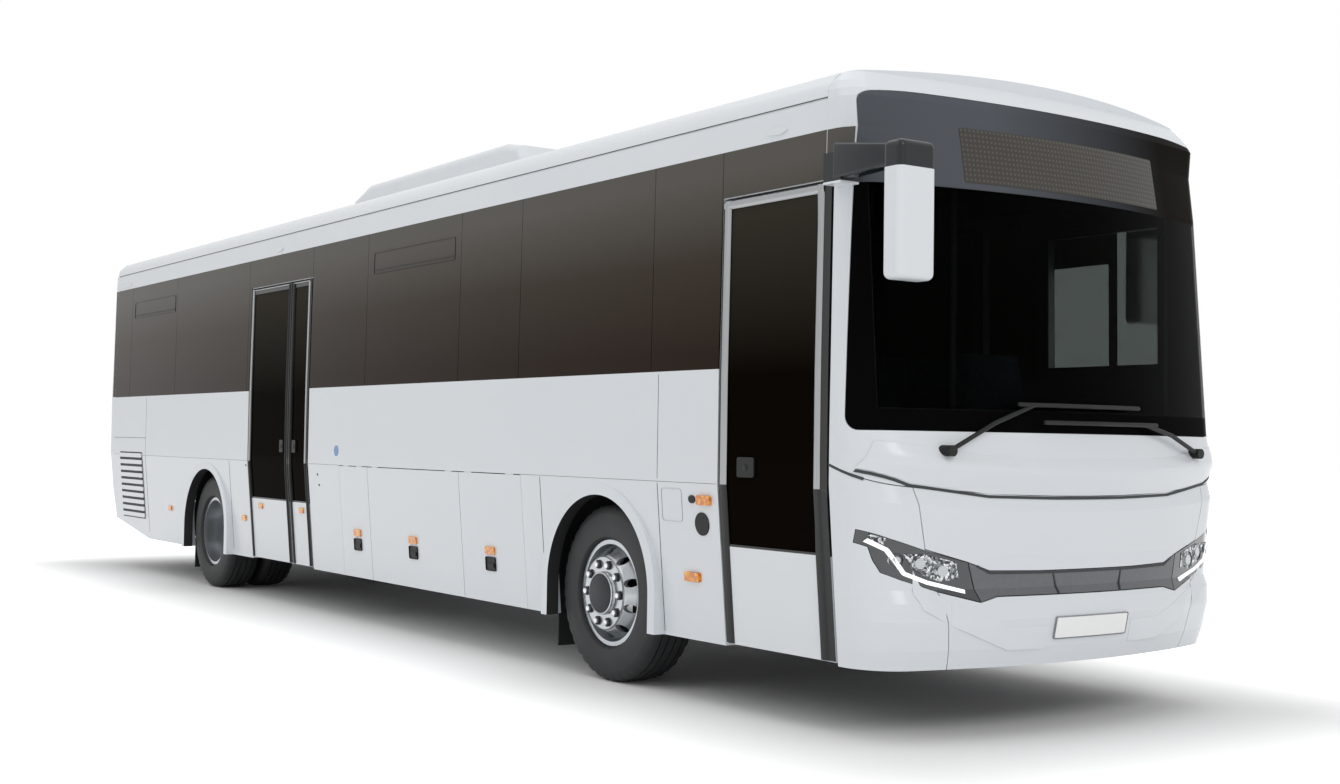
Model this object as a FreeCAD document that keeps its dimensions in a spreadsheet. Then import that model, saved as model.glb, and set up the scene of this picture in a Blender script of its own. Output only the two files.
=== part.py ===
import FreeCAD, Part
import math
import os
import Sketcher

# A two-axle intercity coach.
# X runs forward, Y to the left and Z up, in millimetres. Stations along X are taken from the front axle
# while a piece is drawn, and each piece's Placement then moves it so that the origin lies on the ground
# under the middle of the coach.

DIMENSIONS = {
    # Whole coach
    "body_half": 1275,
    "wheelbase": 6540,
    "nose_reach": 2485,
    "tail_reach": 9610,
    "mirror_reach": 2620,
    "seat_gap": 0.3,
    "overrun": 40,
    "bow_radius": 3900,
    "brow_bow_radius": 5500,
    "tail_bow_radius": 20000,
    # Heights of the side
    "skirt_low": 330,
    "skirt_tuck": 70,
    "belt_high": 1150,
    "sill_high": 1735,
    "head_high": 2840,
    "head_lean": 15,
    "gutter_high": 2985,
    "gutter_lean": 17,
    "roof_edge_inset": 78,
    "roof_edge_high": 3120,
    "crown_high": 3175,
    "roof_edge_radius": 170,
    "roof_thick": 45,
    "roof_joint": 12,
    # Side walls
    "wall_thick": 60,
    "wall_front": 1945,
    "wall_rear": 9340,
    "tail_slope_start": 8310,
    "tail_low": 490,
    "glass_thick": 8,
    "pane_joint": 5,
    "seam_a": 8850,
    "seam_b": 7440,
    "seam_c": 5547,
    "seam_d": 4260,
    "seam_e": 3160,
    "seam_f": 1710,
    "seam_g": 915,
    "seam_h": 527,
    "driver_seam": 1060,
    "driver_sill": 1835,
    "pillar_half": 45,
    "rail_margin": 45,
    "lamp_proud": 6,
    # Wheels and arches
    "tyre_radius": 500,
    "tyre_half_width": 147.5,
    "track_half": 1050,
    "twin_pitch": 335,
    "bead_half": 105,
    "shoulder_half": 128,
    "shoulder_drop": 17,
    "tread_half": 112,
    "tread_drop": 3,
    "shoulder_radius": 24,
    "arch_high": 530,
    "arch_radius": 575,
    "trim_inner": 527,
    "trim_outer": 592,
    "trim_depth": 80,
    "box_radius": 635,
    "box_wall": 15,
    "box_inner_half": 530,
    "box_outer_half": 1150,
    "box_low": 420,
    "notch_half": 120,
    "notch_high": 640,
    # Doors
    "door_head": 2600,
    "door_low": 345,
    "door_thick": 40,
    "door_gap": 12,
    "front_door_rear": 1140,
    "front_door_front": 2005,
    "mid_door_rear": 5490,
    "mid_door_front": 4180,
    "mid_door_split": 4595,
    "door_stile": 62,
    "door_glass_low": 850,
    "door_glass_high": 2545,
    "post_half": 1100,
    "post_radius": 20,
    "post_inset": 85,
    "arm_low": 700,
    "arm_high": 2560,
    "arm_thick": 26,
    "arm_width": 36,
    "arm_knee_out": 130,
    "arm_knee_in": 90,
    "arm_eye": 26,
    "pin_radius": 12,
    "pin_clear": 0.5,
    "front_door_arm": 500,
    "mid_rear_arm": 460,
    "mid_front_arm": 235,
    # Luggage flaps
    "flap_high": 1144.5,
    "flap_edge": 1150,
    "flap_thick": 30,
    "flap_gap": 6,
    "flap_first": 3592,
    "flap_second": 3090,
    "flap_third": 1680,
    "flap_last": 865,
    "flap_split_left": 2300,
    "hinge_radius": 3.2,
    "hinge_length": 90,
    "hinge_proud": 1,
    # Floor
    "floor_high": 860,
    "floor_thick": 50,
    "floor_half": 1180,
    "floor_front": 2180,
    "nose_floor_half": 950,
    "platform_start": 7900,
    "platform_rear": 9320,
    "platform_high": 1300,
    "well_inner": 560,
    "well_outer": 1135,
    "well_low": 345,
    "well_wall": 30,
    "step_high": 620,
    "step_deep": 290,
    # Luggage bays
    "bay_inner": 470,
    "bay_outer": 1140,
    "bay_sheet": 15,
    "bay_low": 350,
    # Chassis
    "rail_half": 430,
    "rail_width": 80,
    "rail_low": 665,
    "rail_sheet": 10,
    "rail_front": 2150,
    "rail_rear": 9250,
    "cross_width": 90,
    "tow_radius": 20,
    "tow_plate": 30,
    "tow_drop": 110,
    "tow_length": 160,
    "tow_width": 100,
    "jack_size": 120,
    "jack_ahead": 880,
    "jack_drop": 25,
    "engine_front": 7950,
    "engine_rear": 9150,
    "engine_low": 380,
    "engine_high": 1200,
    # Axles
    "kingpin_half": 900,
    "fist_radius": 48,
    "fist_half": 90,
    "ear_thick": 55,
    "knuckle_plate": 30,
    "kingpin_radius": 22,
    "spindle_radius": 55,
    "beam_width": 110,
    "beam_low": 430,
    "beam_high": 530,
    "spring_radius": 95,
    "spring_foot": 40,
    "rear_tube": 75,
    "diff_radius": 180,
    "diff_half": 170,
    "spring_beam_half": 440,
    "spring_beam_width": 90,
    "drum_radius": 200,
    "drum_inner": 640,
    # Rims
    "rim_seat": 286,
    "rim_wall": 10,
    "rim_flange": 14,
    "rim_half": 117,
    "rim_lip": 12,
    "ring_out": 165,
    "ring_radius": 204,
    "hub_radius": 110,
    "cap_out": 182,
    "hub_back": 120,
    "dish_in": 165,
    "nave_in": 45,
    "nave_back": 200,
    "nut_circle": 167.5,
    "nut_radius": 16,
    "nut_high": 20,
    "hole_circle": 232,
    "hole_radius": 24,
    # Front end
    "front_panel_thick": 12,
    "front_frame_thick": 20,
    "panel_gap": 5,
    "screen_low": 1430,
    "screen_high": 3025,
    "screen_back": 2105,
    "screen_corner": 70,
    "screen_frame": 50,
    "groove_corner_high": 1250,
    "groove_nose_high": 1118,
    "crease_high": 1250,
    "panel_brow_high": 1050,
    "lamp_depth": 90,
    "chin_high": 420,
    "bumper_high": 555,
    "bumper_brow_high": 640,
    "grille_low": 700,
    "grille_high": 850,
    # Rear end
    "tail_chin_high": 800,
    "rear_thick": 25,
    "rear_glass_half": 930,
    "rear_glass_low": 1900,
    "rear_glass_high": 2740,
    "rear_glass_corner": 70,
    "lid_half": 860,
    "lid_low": 640,
    "lid_high": 1560,
    "lamp_inner": 990,
    "lamp_outer": 1120,
    "lamp_low": 900,
    "lamp_high": 1480,
    # Roof unit
    "unit_front": 1710,
    "unit_rear": 4560,
    "unit_half": 800,
    "unit_high": 3400,
    "unit_fillet": 60,
    # Cabin
    "cushion_low": 1165.3,
    "cushion_thick": 120,
    "cushion_deep": 430,
    "backrest_thick": 90,
    "well_row_gap": 180,
    "rear_row_gap": 270,
    "backrest_high": 1960,
    "seat_inner": 290,
    "seat_outer": 1150,
    "leg_width": 60,
    "row_pitch": 760,
    "first_row": 520,
    "driver_row": 1210,
    "driver_seat_half": 250,
    "driver_middle": 720,
    "wheel_rim": 235,
    "wheel_tube": 14,
    "wheel_station": 1800,
    "wheel_high": 1460,
    "column_radius": 35,
    "column_length": 420,
    "dash_front": 2200,
    "dash_rear": 1960,
    "dash_low": 1010,
    "dash_high": 1400,
    "dash_brow": 100,
    "dash_foot": 80,
    "dash_left": 1080,
    "dash_right": 420,
    # Outside fittings
    "mirror_half": 1310,
    "mirror_wide": 220,
    "mirror_deep": 120,
    "mirror_low": 2080,
    "mirror_high": 2690,
    "mirror_arm_low": 2590,
    "mirror_arm_high": 2688,
    "mirror_arm_wide": 66,
    "mirror_foot_rear": 2020,
    "mirror_foot_front": 2140,
    "mirror_foot_low": 2560,
    "mirror_foot_high": 2705,
    "mirror_round": 32,
    "left_mirror_front": 1700,
    "left_foot_rear": 1885,
    "left_foot_front": 1935,
    "left_mirror_half": 1420,
    "wiper_pivot_half": 895,
    "wiper_pivot_high": 1339,
    "wiper_tube": 11,
    "wiper_boss": 26,
    "wiper_stand": 45,
    "wiper_elbow_half": 640,
    "wiper_elbow_high": 1470,
    "wiper_tip_half": 400,
    "wiper_tip_high": 1560,
    "wiper_blade_reach": 740,
    "mudflap_thick": 10,
    "mudflap_low": 130,
    "mudflap_wide": 270,
    "marker_low": 640,
    "marker_high": 685,
    "marker_long": 90,
    "marker_first": 7630,
    "marker_second": 5670,
    "marker_third": 870,
}

doc = FreeCAD.newDocument("coach_bus")
sheet = doc.addObject("Spreadsheet::Sheet", "Dimensions")
for row, (alias, value) in enumerate(DIMENSIONS.items(), start=1):
    sheet.set("A%d" % row, alias)
    sheet.set("B%d" % row, str(value))
    sheet.setAlias("B%d" % row, alias)
doc.recompute()


class Size:
    """A length that carries its spreadsheet formula, so one sum serves a bound property and a shape."""

    def __init__(self, value, formula):
        self.value = float(value)
        self.formula = formula

    def __float__(self):
        return self.value

    def __add__(self, other):
        return Size(self.value + float(other), "(%s + %s)" % (self.formula, formula_of(other)))

    def __radd__(self, other):
        return Size(float(other) + self.value, "(%s + %s)" % (formula_of(other), self.formula))

    def __sub__(self, other):
        return Size(self.value - float(other), "(%s - %s)" % (self.formula, formula_of(other)))

    def __rsub__(self, other):
        return Size(float(other) - self.value, "(%s - %s)" % (formula_of(other), self.formula))

    def __mul__(self, other):
        return Size(self.value * float(other), "(%s * %s)" % (self.formula, formula_of(other)))

    __rmul__ = __mul__

    def __truediv__(self, other):
        return Size(self.value / float(other), "(%s / %s)" % (self.formula, formula_of(other)))

    def __neg__(self):
        return Size(-self.value, "(0 - %s)" % self.formula)


def formula_of(amount):
    return amount.formula if isinstance(amount, Size) else repr(float(amount))


class SheetSizes:
    """The sheet's cells by alias."""

    def __getattr__(self, alias):
        return Size(float(sheet.get(alias)), "Dimensions." + alias)


d = SheetSizes()
SUBPARTS = []
middle = (d.tail_reach - d.mirror_reach) / 2


def bind(obj, prop, amount):
    if isinstance(amount, Size):
        obj.setExpression(prop, amount.formula)
    else:
        obj.setExpression(prop, repr(float(amount)))


def subpart(obj, label, at_x=0, at_y=0, at_z=0):
    """Name a finished piece and set its Placement from the sheet."""
    obj.Label = label
    bind(obj, "Placement.Base.x", middle + at_x)
    bind(obj, "Placement.Base.y", at_y)
    bind(obj, "Placement.Base.z", at_z)
    SUBPARTS.append(obj)
    return obj


# Sketches

PLANES = {"X": ("YZ_Plane", 1), "Y": ("XZ_Plane", -1), "Z": ("XY_Plane", 1)}


def body_sketch(body, axis, level):
    """A sketch on the body's origin plane square to the axis, moved along it to level."""
    role, sign = PLANES[axis]
    sketch = body.newObject("Sketcher::SketchObject", body.Name + "Sketch")
    sketch.AttachmentSupport = [(next(f for f in body.Origin.OriginFeatures if f.Role == role), "")]
    sketch.MapMode = "FlatFace"
    bind(sketch, "AttachmentOffset.Base.z", level * sign)
    return sketch


def fix_point(sketch, geometry, end, across, up):
    for kind, amount, axis_line in (("DistanceX", across, -2), ("DistanceY", up, -1)):
        if float(amount) == 0:
            sketch.addConstraint(Sketcher.Constraint("PointOnObject", geometry, end, axis_line))
            continue
        index = sketch.addConstraint(Sketcher.Constraint(kind, -1, 1, geometry, end, float(amount)))
        sketch.setExpression("Constraints[%d]" % index, formula_of(amount))


def fix_height(sketch, geometry, point, up):
    """Hold a half circle's centre level with its ends."""
    index = sketch.addConstraint(Sketcher.Constraint("DistanceY", -1, 1, geometry, point, float(up)))
    sketch.setExpression("Constraints[%d]" % index, formula_of(up))


def arc_between(start, finish, radius):
    """The arc from start to finish; a positive radius bulges to the right of the way there."""
    chord = finish - start
    half = chord.Length / 2
    depth = math.sqrt(max(radius * radius - half * half, 0))
    left = FreeCAD.Vector(-chord.y, chord.x, 0).normalize()
    centre = start + chord / 2 + left * (depth if radius > 0 else -depth)
    circle = Part.Circle(centre, FreeCAD.Vector(0, 0, 1), abs(radius))
    first = math.atan2(start.y - centre.y, start.x - centre.x)
    last = math.atan2(finish.y - centre.y, finish.x - centre.x)
    if radius > 0:
        return Part.ArcOfCircle(circle, first, last if last > first else last + 2 * math.pi), 1, 2
    return Part.ArcOfCircle(circle, last, first if first > last else first + 2 * math.pi), 2, 1


def draw_outline(sketch, outline):
    """A closed outline of (across, up) corners; a third value is the radius of the arc to the next one."""
    places = [FreeCAD.Vector(float(corner[0]), float(corner[1]), 0) for corner in outline]
    edges = []
    for index, corner in enumerate(outline):
        start, finish = places[index], places[(index + 1) % len(places)]
        if len(corner) == 3:
            arc, first, last = arc_between(start, finish, float(corner[2]))
            edges.append((sketch.addGeometry(arc), first, last))
            size = corner[2] if float(corner[2]) > 0 else -corner[2]
            if math.isclose(start.distanceToPoint(finish), 2 * float(size)):
                fix_height(sketch, edges[-1][0], 3, corner[1])
                continue
            radius = sketch.addConstraint(Sketcher.Constraint("Radius", edges[-1][0], float(size)))
            sketch.setExpression("Constraints[%d]" % radius, formula_of(size))
        else:
            edges.append((sketch.addGeometry(Part.LineSegment(start, finish)), 1, 2))
    for index, corner in enumerate(outline):
        edge, first, _ = edges[index]
        before, _, last = edges[index - 1]
        sketch.addConstraint(Sketcher.Constraint("Coincident", before, last, edge, first))
        fix_point(sketch, edge, first, corner[0], corner[1])


def draw_circle(sketch, across, up, radius):
    circle = sketch.addGeometry(Part.Circle(FreeCAD.Vector(float(across), float(up), 0),
                                            FreeCAD.Vector(0, 0, 1), float(radius)))
    fix_point(sketch, circle, 3, across, up)
    index = sketch.addConstraint(Sketcher.Constraint("Radius", circle, float(radius)))
    sketch.setExpression("Constraints[%d]" % index, formula_of(radius))


def rectangle(low_a, high_a, low_b, high_b):
    return [(low_a, low_b), (high_a, low_b), (high_a, high_b), (low_a, high_b)]


# PartDesign features

def new_body(name):
    body = doc.addObject("PartDesign::Body", name)
    body.AllowCompound = True
    return body


def add_pad(body, axis, low, high, outlines=(), circles=()):
    """Pad the outlines along the axis from low to high."""
    sketch = body_sketch(body, axis, high if axis == "Y" else low)
    for outline in outlines:
        draw_outline(sketch, outline)
    for across, up, radius in circles:
        draw_circle(sketch, across, up, radius)
    pad = body.newObject("PartDesign::Pad", body.Name + "Pad")
    pad.Profile = sketch
    bind(pad, "Length", high - low)
    body.Tip = pad
    return pad


def add_pocket(body, axis, low, high, outlines=(), circles=()):
    """Cut the outlines along the axis from low to high."""
    sketch = body_sketch(body, axis, low if axis == "Y" else high)
    for outline in outlines:
        draw_outline(sketch, outline)
    for across, up, radius in circles:
        draw_circle(sketch, across, up, radius)
    pocket = body.newObject("PartDesign::Pocket", body.Name + "Pocket")
    pocket.Profile = sketch
    bind(pocket, "Length", high - low)
    body.Tip = pocket
    CUTS.append(pocket)
    return pocket


def prism(name, axis, low, high, outlines=(), circles=()):
    body = new_body(name)
    add_pad(body, axis, low, high, outlines, circles)
    return body


def turned(name, outline):
    """Revolve an outline of (along Y, radius) corners about the Y axis."""
    body = new_body(name)
    sketch = body_sketch(body, "X", 0)
    draw_outline(sketch, outline)
    revolution = body.newObject("PartDesign::Revolution", name + "Revolution")
    revolution.Profile = sketch
    revolution.ReferenceAxis = (sketch, ["H_Axis"])
    revolution.Angle = 360
    body.Tip = revolution
    return body


CUTS = []


# Part primitives and booleans

def box(name, x0, x1, y0, y1, z0, z1):
    solid = doc.addObject("Part::Box", name)
    for prop, low, high, place in (("Length", x0, x1, "x"), ("Width", y0, y1, "y"), ("Height", z0, z1, "z")):
        bind(solid, prop, high - low)
        bind(solid, "Placement.Base." + place, low)
    return solid


def cylinder(name, axis, radius, low, high, across, up):
    """A cylinder along X, Y or Z from low to high, centred at (across, up) in the plane square to it."""
    solid = doc.addObject("Part::Cylinder", name)
    bind(solid, "Radius", radius)
    bind(solid, "Height", high - low)
    turns = {"X": (0, 1, 0, 90), "Y": (1, 0, 0, -90), "Z": (0, 0, 1, 0)}
    x, y, z, angle = turns[axis]
    solid.Placement = FreeCAD.Placement(FreeCAD.Vector(0, 0, 0),
                                        FreeCAD.Rotation(FreeCAD.Vector(x, y, z), angle))
    places = {"X": (low, across, up), "Y": (across, low, up), "Z": (across, up, low)}[axis]
    for place, amount in zip("xyz", places):
        bind(solid, "Placement.Base." + place, amount)
    return solid


def fuse(name, solids):
    joined = doc.addObject("Part::MultiFuse", name)
    joined.Shapes = solids
    return joined


def cut(name, base, tools):
    tool = tools[0] if len(tools) == 1 else fuse(name + "Tools", tools)
    result = doc.addObject("Part::Cut", name)
    result.Base = base
    result.Tool = tool
    return result


def common(name, first, second):
    result = doc.addObject("Part::Common", name)
    result.Base = first
    result.Tool = second
    return result


def freeform(name, shape):
    """A piece whose surfaces no feature makes: its shape comes from code that reads the sheet."""
    piece = doc.addObject("Part::Feature", name)
    piece.Shape = shape
    return piece


# The side's cross-section

def side_out(height):
    """Distance of the side's outer face from the middle at a height."""
    if float(height) <= float(d.belt_high):
        share = (d.belt_high - height) / (d.belt_high - d.skirt_low)
        return d.body_half - d.skirt_tuck * share
    if float(height) <= float(d.sill_high):
        return d.body_half
    if float(height) <= float(d.head_high):
        share = (height - d.sill_high) / (d.head_high - d.sill_high)
        return d.body_half - d.head_lean * share
    share = (height - d.head_high) / (d.gutter_high - d.head_high)
    return d.body_half - d.head_lean - (d.gutter_lean - d.head_lean) * share


def side_strip(side, low, high, depth, thick):
    """The cross-section of a strip of the side between two heights, sunk by depth and of a thickness."""
    breaks = [level for level in (d.belt_high, d.sill_high, d.head_high)
              if float(low) < float(level) < float(high)]
    levels = [low] + breaks + [high]
    outer = [((side_out(level) - depth) * side, level) for level in levels]
    inner = [((side_out(level) - depth - thick) * side, level) for level in reversed(levels)]
    return outer + inner


# Side walls, with their door, window, flap and wheel openings

RIGHT, LEFT = -1, 1
WALL_TOP = d.gutter_high


def wall_outline(side):
    """Cross-section of a wall, rebated for the glazing between sill and head."""
    rebate = d.glass_thick + d.seat_gap
    outer = [(side_out(d.skirt_low), d.skirt_low), (d.body_half, d.belt_high), (d.body_half, d.sill_high),
             (d.body_half - rebate, d.sill_high), (side_out(d.head_high) - rebate, d.head_high),
             (side_out(d.head_high), d.head_high), (side_out(WALL_TOP), WALL_TOP)]
    inner = [(side_out(WALL_TOP) - d.wall_thick, WALL_TOP), (d.body_half - d.wall_thick, d.sill_high),
             (d.body_half - d.wall_thick, d.belt_high), (side_out(d.skirt_low) - d.wall_thick, d.skirt_low)]
    return [(across * side, up) for across, up in outer + inner]


def cut_band(side):
    """Range along Y that holds one side wall and reaches past it."""
    outer, inner = d.body_half + d.overrun, d.rail_half + d.overrun
    return (-outer, -inner) if side == RIGHT else (inner, outer)


def arch_outline(station, radius):
    """A wheel opening: half a circle just above the hub, then straight down past the skirt."""
    low = d.skirt_low - d.overrun
    return [(station + radius, low), (station + radius, d.arch_high, radius),
            (station - radius, d.arch_high), (station - radius, low)]


COMMON_PANES = [(-d.wall_rear, -d.seam_a), (-d.seam_a, -d.seam_b), (-d.seam_b, -d.seam_c),
                (-d.seam_e, -d.seam_f), (-d.seam_f, -d.seam_g), (-d.seam_g, d.seam_h)]
PANES = {RIGHT: COMMON_PANES + [(-d.mid_door_front, -d.seam_e), (d.seam_h, d.front_door_rear)],
         LEFT: COMMON_PANES + [(-d.seam_c, -d.seam_d), (-d.seam_d, -d.seam_e), (d.seam_h, d.driver_seam)]}


def side_wall(side, label):
    body = prism(label, "X", -d.wall_rear, d.wall_front, [wall_outline(side)])
    low, high = cut_band(side)
    windows = [rectangle(rear + d.pillar_half, front - d.pillar_half,
                         d.sill_high + d.rail_margin, d.head_high - d.rail_margin)
               for rear, front in PANES[side]]
    below = d.skirt_low - d.overrun
    openings = [arch_outline(0, d.arch_radius), arch_outline(-d.wheelbase, d.arch_radius),
                rectangle(-d.flap_first, -d.flap_last, below, d.flap_edge),
                [(-d.tail_slope_start, below), (-d.tail_slope_start, d.skirt_low), (-d.wall_rear, d.tail_low),
                 (-d.wall_rear - d.overrun, d.tail_low), (-d.wall_rear - d.overrun, below)]]
    if side == RIGHT:
        openings.append(rectangle(-d.mid_door_rear, -d.mid_door_front, below, d.door_head))
        openings.append(rectangle(d.front_door_rear, d.wall_front + d.overrun, below, d.door_head))
    else:
        windows.append(rectangle(d.driver_seam + d.pillar_half, d.wall_front - d.pillar_half,
                                 d.driver_sill, d.door_head))
    add_pocket(body, "Y", low, high, windows)
    add_pocket(body, "Y", low, high, openings)
    return subpart(body, label)


def side_glazing(side, label):
    """Panes bonded into the rebate, parted at their joints, with headers over the doors."""
    gap = d.seat_gap
    outline = side_strip(side, d.sill_high + gap, d.head_high - gap, 0, d.glass_thick)
    body = prism(label, "X", -d.wall_rear, d.wall_front, [outline])
    low, high = cut_band(side)
    joint = d.pane_joint / 2
    seams = [-d.seam_a, -d.seam_b, -d.seam_c, -d.seam_e, -d.seam_f, -d.seam_g, d.seam_h]
    seams += [-d.mid_door_front, d.front_door_rear] if side == RIGHT else [-d.seam_d, d.driver_seam]
    below, above = d.sill_high - d.overrun, d.head_high + d.overrun
    add_pocket(body, "Y", low, high, [rectangle(seam - joint, seam + joint, below, above) for seam in seams])
    if side == RIGHT:
        header = d.door_head + d.pane_joint
        add_pocket(body, "Y", low, high, [
            rectangle(-d.mid_door_rear - joint, -d.mid_door_front + joint, below, header),
            rectangle(d.front_door_rear - joint, d.wall_front + d.overrun, below, header)])
    return subpart(body, label)


wall_right = side_wall(RIGHT, "wall_right")
wall_left = side_wall(LEFT, "wall_left")
side_glazing(RIGHT, "glazing_right")
side_glazing(LEFT, "glazing_left")


# Arch trims: rings that stand flush with the belt while the skirt tucks in behind them

def arch_trim(side, station, name):
    outer, inner = d.trim_outer, d.trim_inner
    low = d.skirt_low
    outline = [(station + outer, low), (station + outer, d.arch_high, outer),
               (station - outer, d.arch_high), (station - outer, low),
               (station - inner, low), (station - inner, d.arch_high, -inner),
               (station + inner, d.arch_high), (station + inner, low)]
    near, far = d.body_half - d.trim_depth, d.body_half
    span = (-far, -near) if side == RIGHT else (near, far)
    ring = prism(name, "Y", span[0], span[1], [outline])
    bind(ring, "Placement.Base.x", middle)
    return cut(name + "_seated", ring, [wall_right if side == RIGHT else wall_left])


trims = doc.addObject("Part::Compound", "trims")
trims.Links = [arch_trim(side, station, "trim_%s_%s" % (word, place))
               for side, word in ((RIGHT, "right"), (LEFT, "left"))
               for station, place in ((0, "front"), (-d.wheelbase, "rear"))]
trims.Label = "arch_trims"
SUBPARTS.append(trims)


def group(label, pieces):
    """One node of separate solids."""
    members = doc.addObject("Part::Compound", label)
    members.Links = pieces
    return subpart(members, label)


# Swing-plug doors: each leaf hangs on two arms of a turning post and stays square to the coach

def door_leaf(label, rear, front, post, reach):
    """A leaf with its window cut; lugs under the arms carry the pins. A negative reach points back."""
    outline = side_strip(RIGHT, d.door_low, d.door_head - d.door_gap, 0, d.door_thick)
    leaf = prism(label + "_skin", "X", rear, front, [outline])
    low, high = cut_band(RIGHT)
    add_pocket(leaf, "Y", low, high, [rectangle(rear + d.door_stile, front - d.door_stile,
                                                d.door_glass_low, d.door_glass_high)])
    pieces = [leaf]
    pin = post + reach
    for number, level in enumerate((d.arm_low, d.arm_high)):
        lug_high = level - d.pin_radius / 2
        lug_low = lug_high - d.pin_radius
        inner = -(side_out(lug_low) - d.door_thick) - d.seat_gap * 5
        pieces.append(box("%s_lug_%d" % (label, number), pin - d.arm_eye, pin + d.arm_eye,
                          inner, -(d.post_half - d.arm_eye), lug_low, lug_high))
        pieces.append(cylinder("%s_pin_%d" % (label, number), "Z", d.pin_radius, lug_low,
                               level + d.arm_thick, pin, -d.post_half))
    subpart(fuse(label, pieces), label)


def door_glass(label, rear, front):
    gap = d.seat_gap
    outline = side_strip(RIGHT, d.door_glass_low + gap, d.door_glass_high - gap, d.lamp_proud, d.glass_thick)
    pane = prism(label, "X", rear + d.door_stile + gap, front - d.door_stile - gap, [outline])
    subpart(pane, label)


def door_arms(label, post, reach, way):
    """Post with two bent arms; way is 1 where the arms point forward from the post and -1 where back."""
    middle_line = -d.post_half
    half = d.arm_width / 2
    knee, pin = post + d.arm_knee_out * way, post + reach
    base = d.well_low + d.well_wall + d.seat_gap
    post_rod = cylinder(label + "_post", "Z", d.post_radius, base, d.arm_high + d.arm_thick, post,
                        middle_line)
    pieces, holes = [post_rod], []
    for number, level in enumerate((d.arm_low, d.arm_high)):
        outline = [(post, middle_line - half), (knee, middle_line + d.arm_knee_in - half),
                   (pin, middle_line - half), (pin, middle_line + half),
                   (knee, middle_line + d.arm_knee_in + half), (post, middle_line + half)]
        name = "%s_%d" % (label, number)
        pieces.append(prism(name + "_arm", "Z", level, level + d.arm_thick, [outline]))
        pieces.append(cylinder(name + "_eye", "Z", d.arm_eye, level, level + d.arm_thick, pin, middle_line))
        holes.append(cylinder(name + "_hole", "Z", d.pin_radius + d.pin_clear, level - d.overrun,
                              level + d.arm_thick + d.overrun, pin, middle_line))
    subpart(cut(label, fuse(label + "_solid", pieces), holes), label)


def door(name, rear, front, post, reach, way):
    door_leaf(name + "_leaf", rear, front, post, reach * way)
    door_glass(name + "_glass", rear, front)
    door_arms(name + "_arms", post, reach * way, way)


FRONT_POST = d.front_door_front - d.post_inset
door("front_door", d.front_door_rear + d.door_gap, d.front_door_front - d.door_gap,
     FRONT_POST, d.front_door_arm, -1)
door("mid_door_rear", -d.mid_door_rear + d.door_gap, -d.mid_door_split - d.door_gap / 2,
     -d.mid_door_rear + d.post_inset, d.mid_rear_arm, 1)
door("mid_door_front", -d.mid_door_split + d.door_gap / 2, -d.mid_door_front - d.door_gap,
     -d.mid_door_front - d.post_inset, d.mid_front_arm, -1)


# Luggage flaps, hung on hinge barrels along their top edge

def flap(label, side, rear, front):
    gap = d.flap_gap / 2
    outline = side_strip(side, d.skirt_low, d.flap_high, 0, d.flap_thick)
    panel = prism(label + "_panel", "X", rear + gap, front - gap, [outline])
    axis_out = (d.body_half + d.hinge_proud) * side
    axis_up = d.flap_edge - d.hinge_radius - d.seat_gap
    pieces = [panel]
    for number, start in enumerate((rear + d.hinge_length, front - d.hinge_length * 2)):
        pieces.append(cylinder("%s_barrel_%d" % (label, number), "X", d.hinge_radius, start,
                               start + d.hinge_length, axis_out, axis_up))
    subpart(fuse(label, pieces), label)


flap("flap_right_rear", RIGHT, -d.flap_first, -d.flap_second)
flap("flap_right_middle", RIGHT, -d.flap_second, -d.flap_third)
flap("flap_right_front", RIGHT, -d.flap_third, -d.flap_last)
flap("flap_left_rear", LEFT, -d.flap_first, -d.flap_split_left)
flap("flap_left_front", LEFT, -d.flap_split_left, -d.flap_last)


# Floor panels round the step wells and the wheel boxes, and the raised platform over the engine

def sided_span(side, near, far):
    """Range along Y between two distances from the middle, on one side."""
    return (-far, -near) if side == RIGHT else (near, far)


def floor_panel(name, side, rear, front):
    """A side panel, its outer edge cut to the wall's lean."""
    low, high, inner = d.floor_high - d.floor_thick, d.floor_high, d.box_inner_half
    lining = d.wall_thick + d.seat_gap
    outline = [(inner, low), (side_out(low) - lining, low), (side_out(high) - lining, high), (inner, high)]
    return prism(name, "X", rear, front, [[(across * side, up) for across, up in outline]])


def floor_deck():
    low, high, gap = d.floor_high - d.floor_thick, d.floor_high, d.seat_gap
    inner, wall, radius = d.box_inner_half, d.well_wall, d.box_radius
    start, nose_end = -d.platform_start + gap, d.wall_front + wall
    front_box, rear_box = radius + gap, -d.wheelbase + radius + gap
    behind_rear_box = -d.wheelbase - radius - gap
    ranges = {
        RIGHT: [(start, behind_rear_box), (rear_box, -d.mid_door_rear - wall - gap),
                (-d.mid_door_front + wall + gap, -front_box), (front_box, d.front_door_rear - wall - gap)],
        LEFT: [(start, behind_rear_box), (rear_box, -front_box), (front_box, nose_end)]}
    panels = [box("floor_middle", start, d.floor_front, -inner + gap, inner - gap, low, high)]
    for word, side in (("right", RIGHT), ("left", LEFT)):
        for number, (rear, front) in enumerate(ranges[side]):
            panels.append(floor_panel("floor_%s_%d" % (word, number), side, rear, front))
        span = sided_span(side, inner, d.nose_floor_half)
        panels.append(box("floor_nose_" + word, nose_end + gap, d.floor_front, span[0], span[1], low, high))
    lid = d.platform_high - d.floor_thick
    panels.append(box("platform", -d.platform_rear, -d.platform_start, -d.floor_half, d.floor_half,
                      lid, d.platform_high))
    panels.append(box("platform_riser", -d.platform_start - wall, -d.platform_start,
                      -d.floor_half, d.floor_half, low, lid - gap))
    group("floor_deck", panels)


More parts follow.
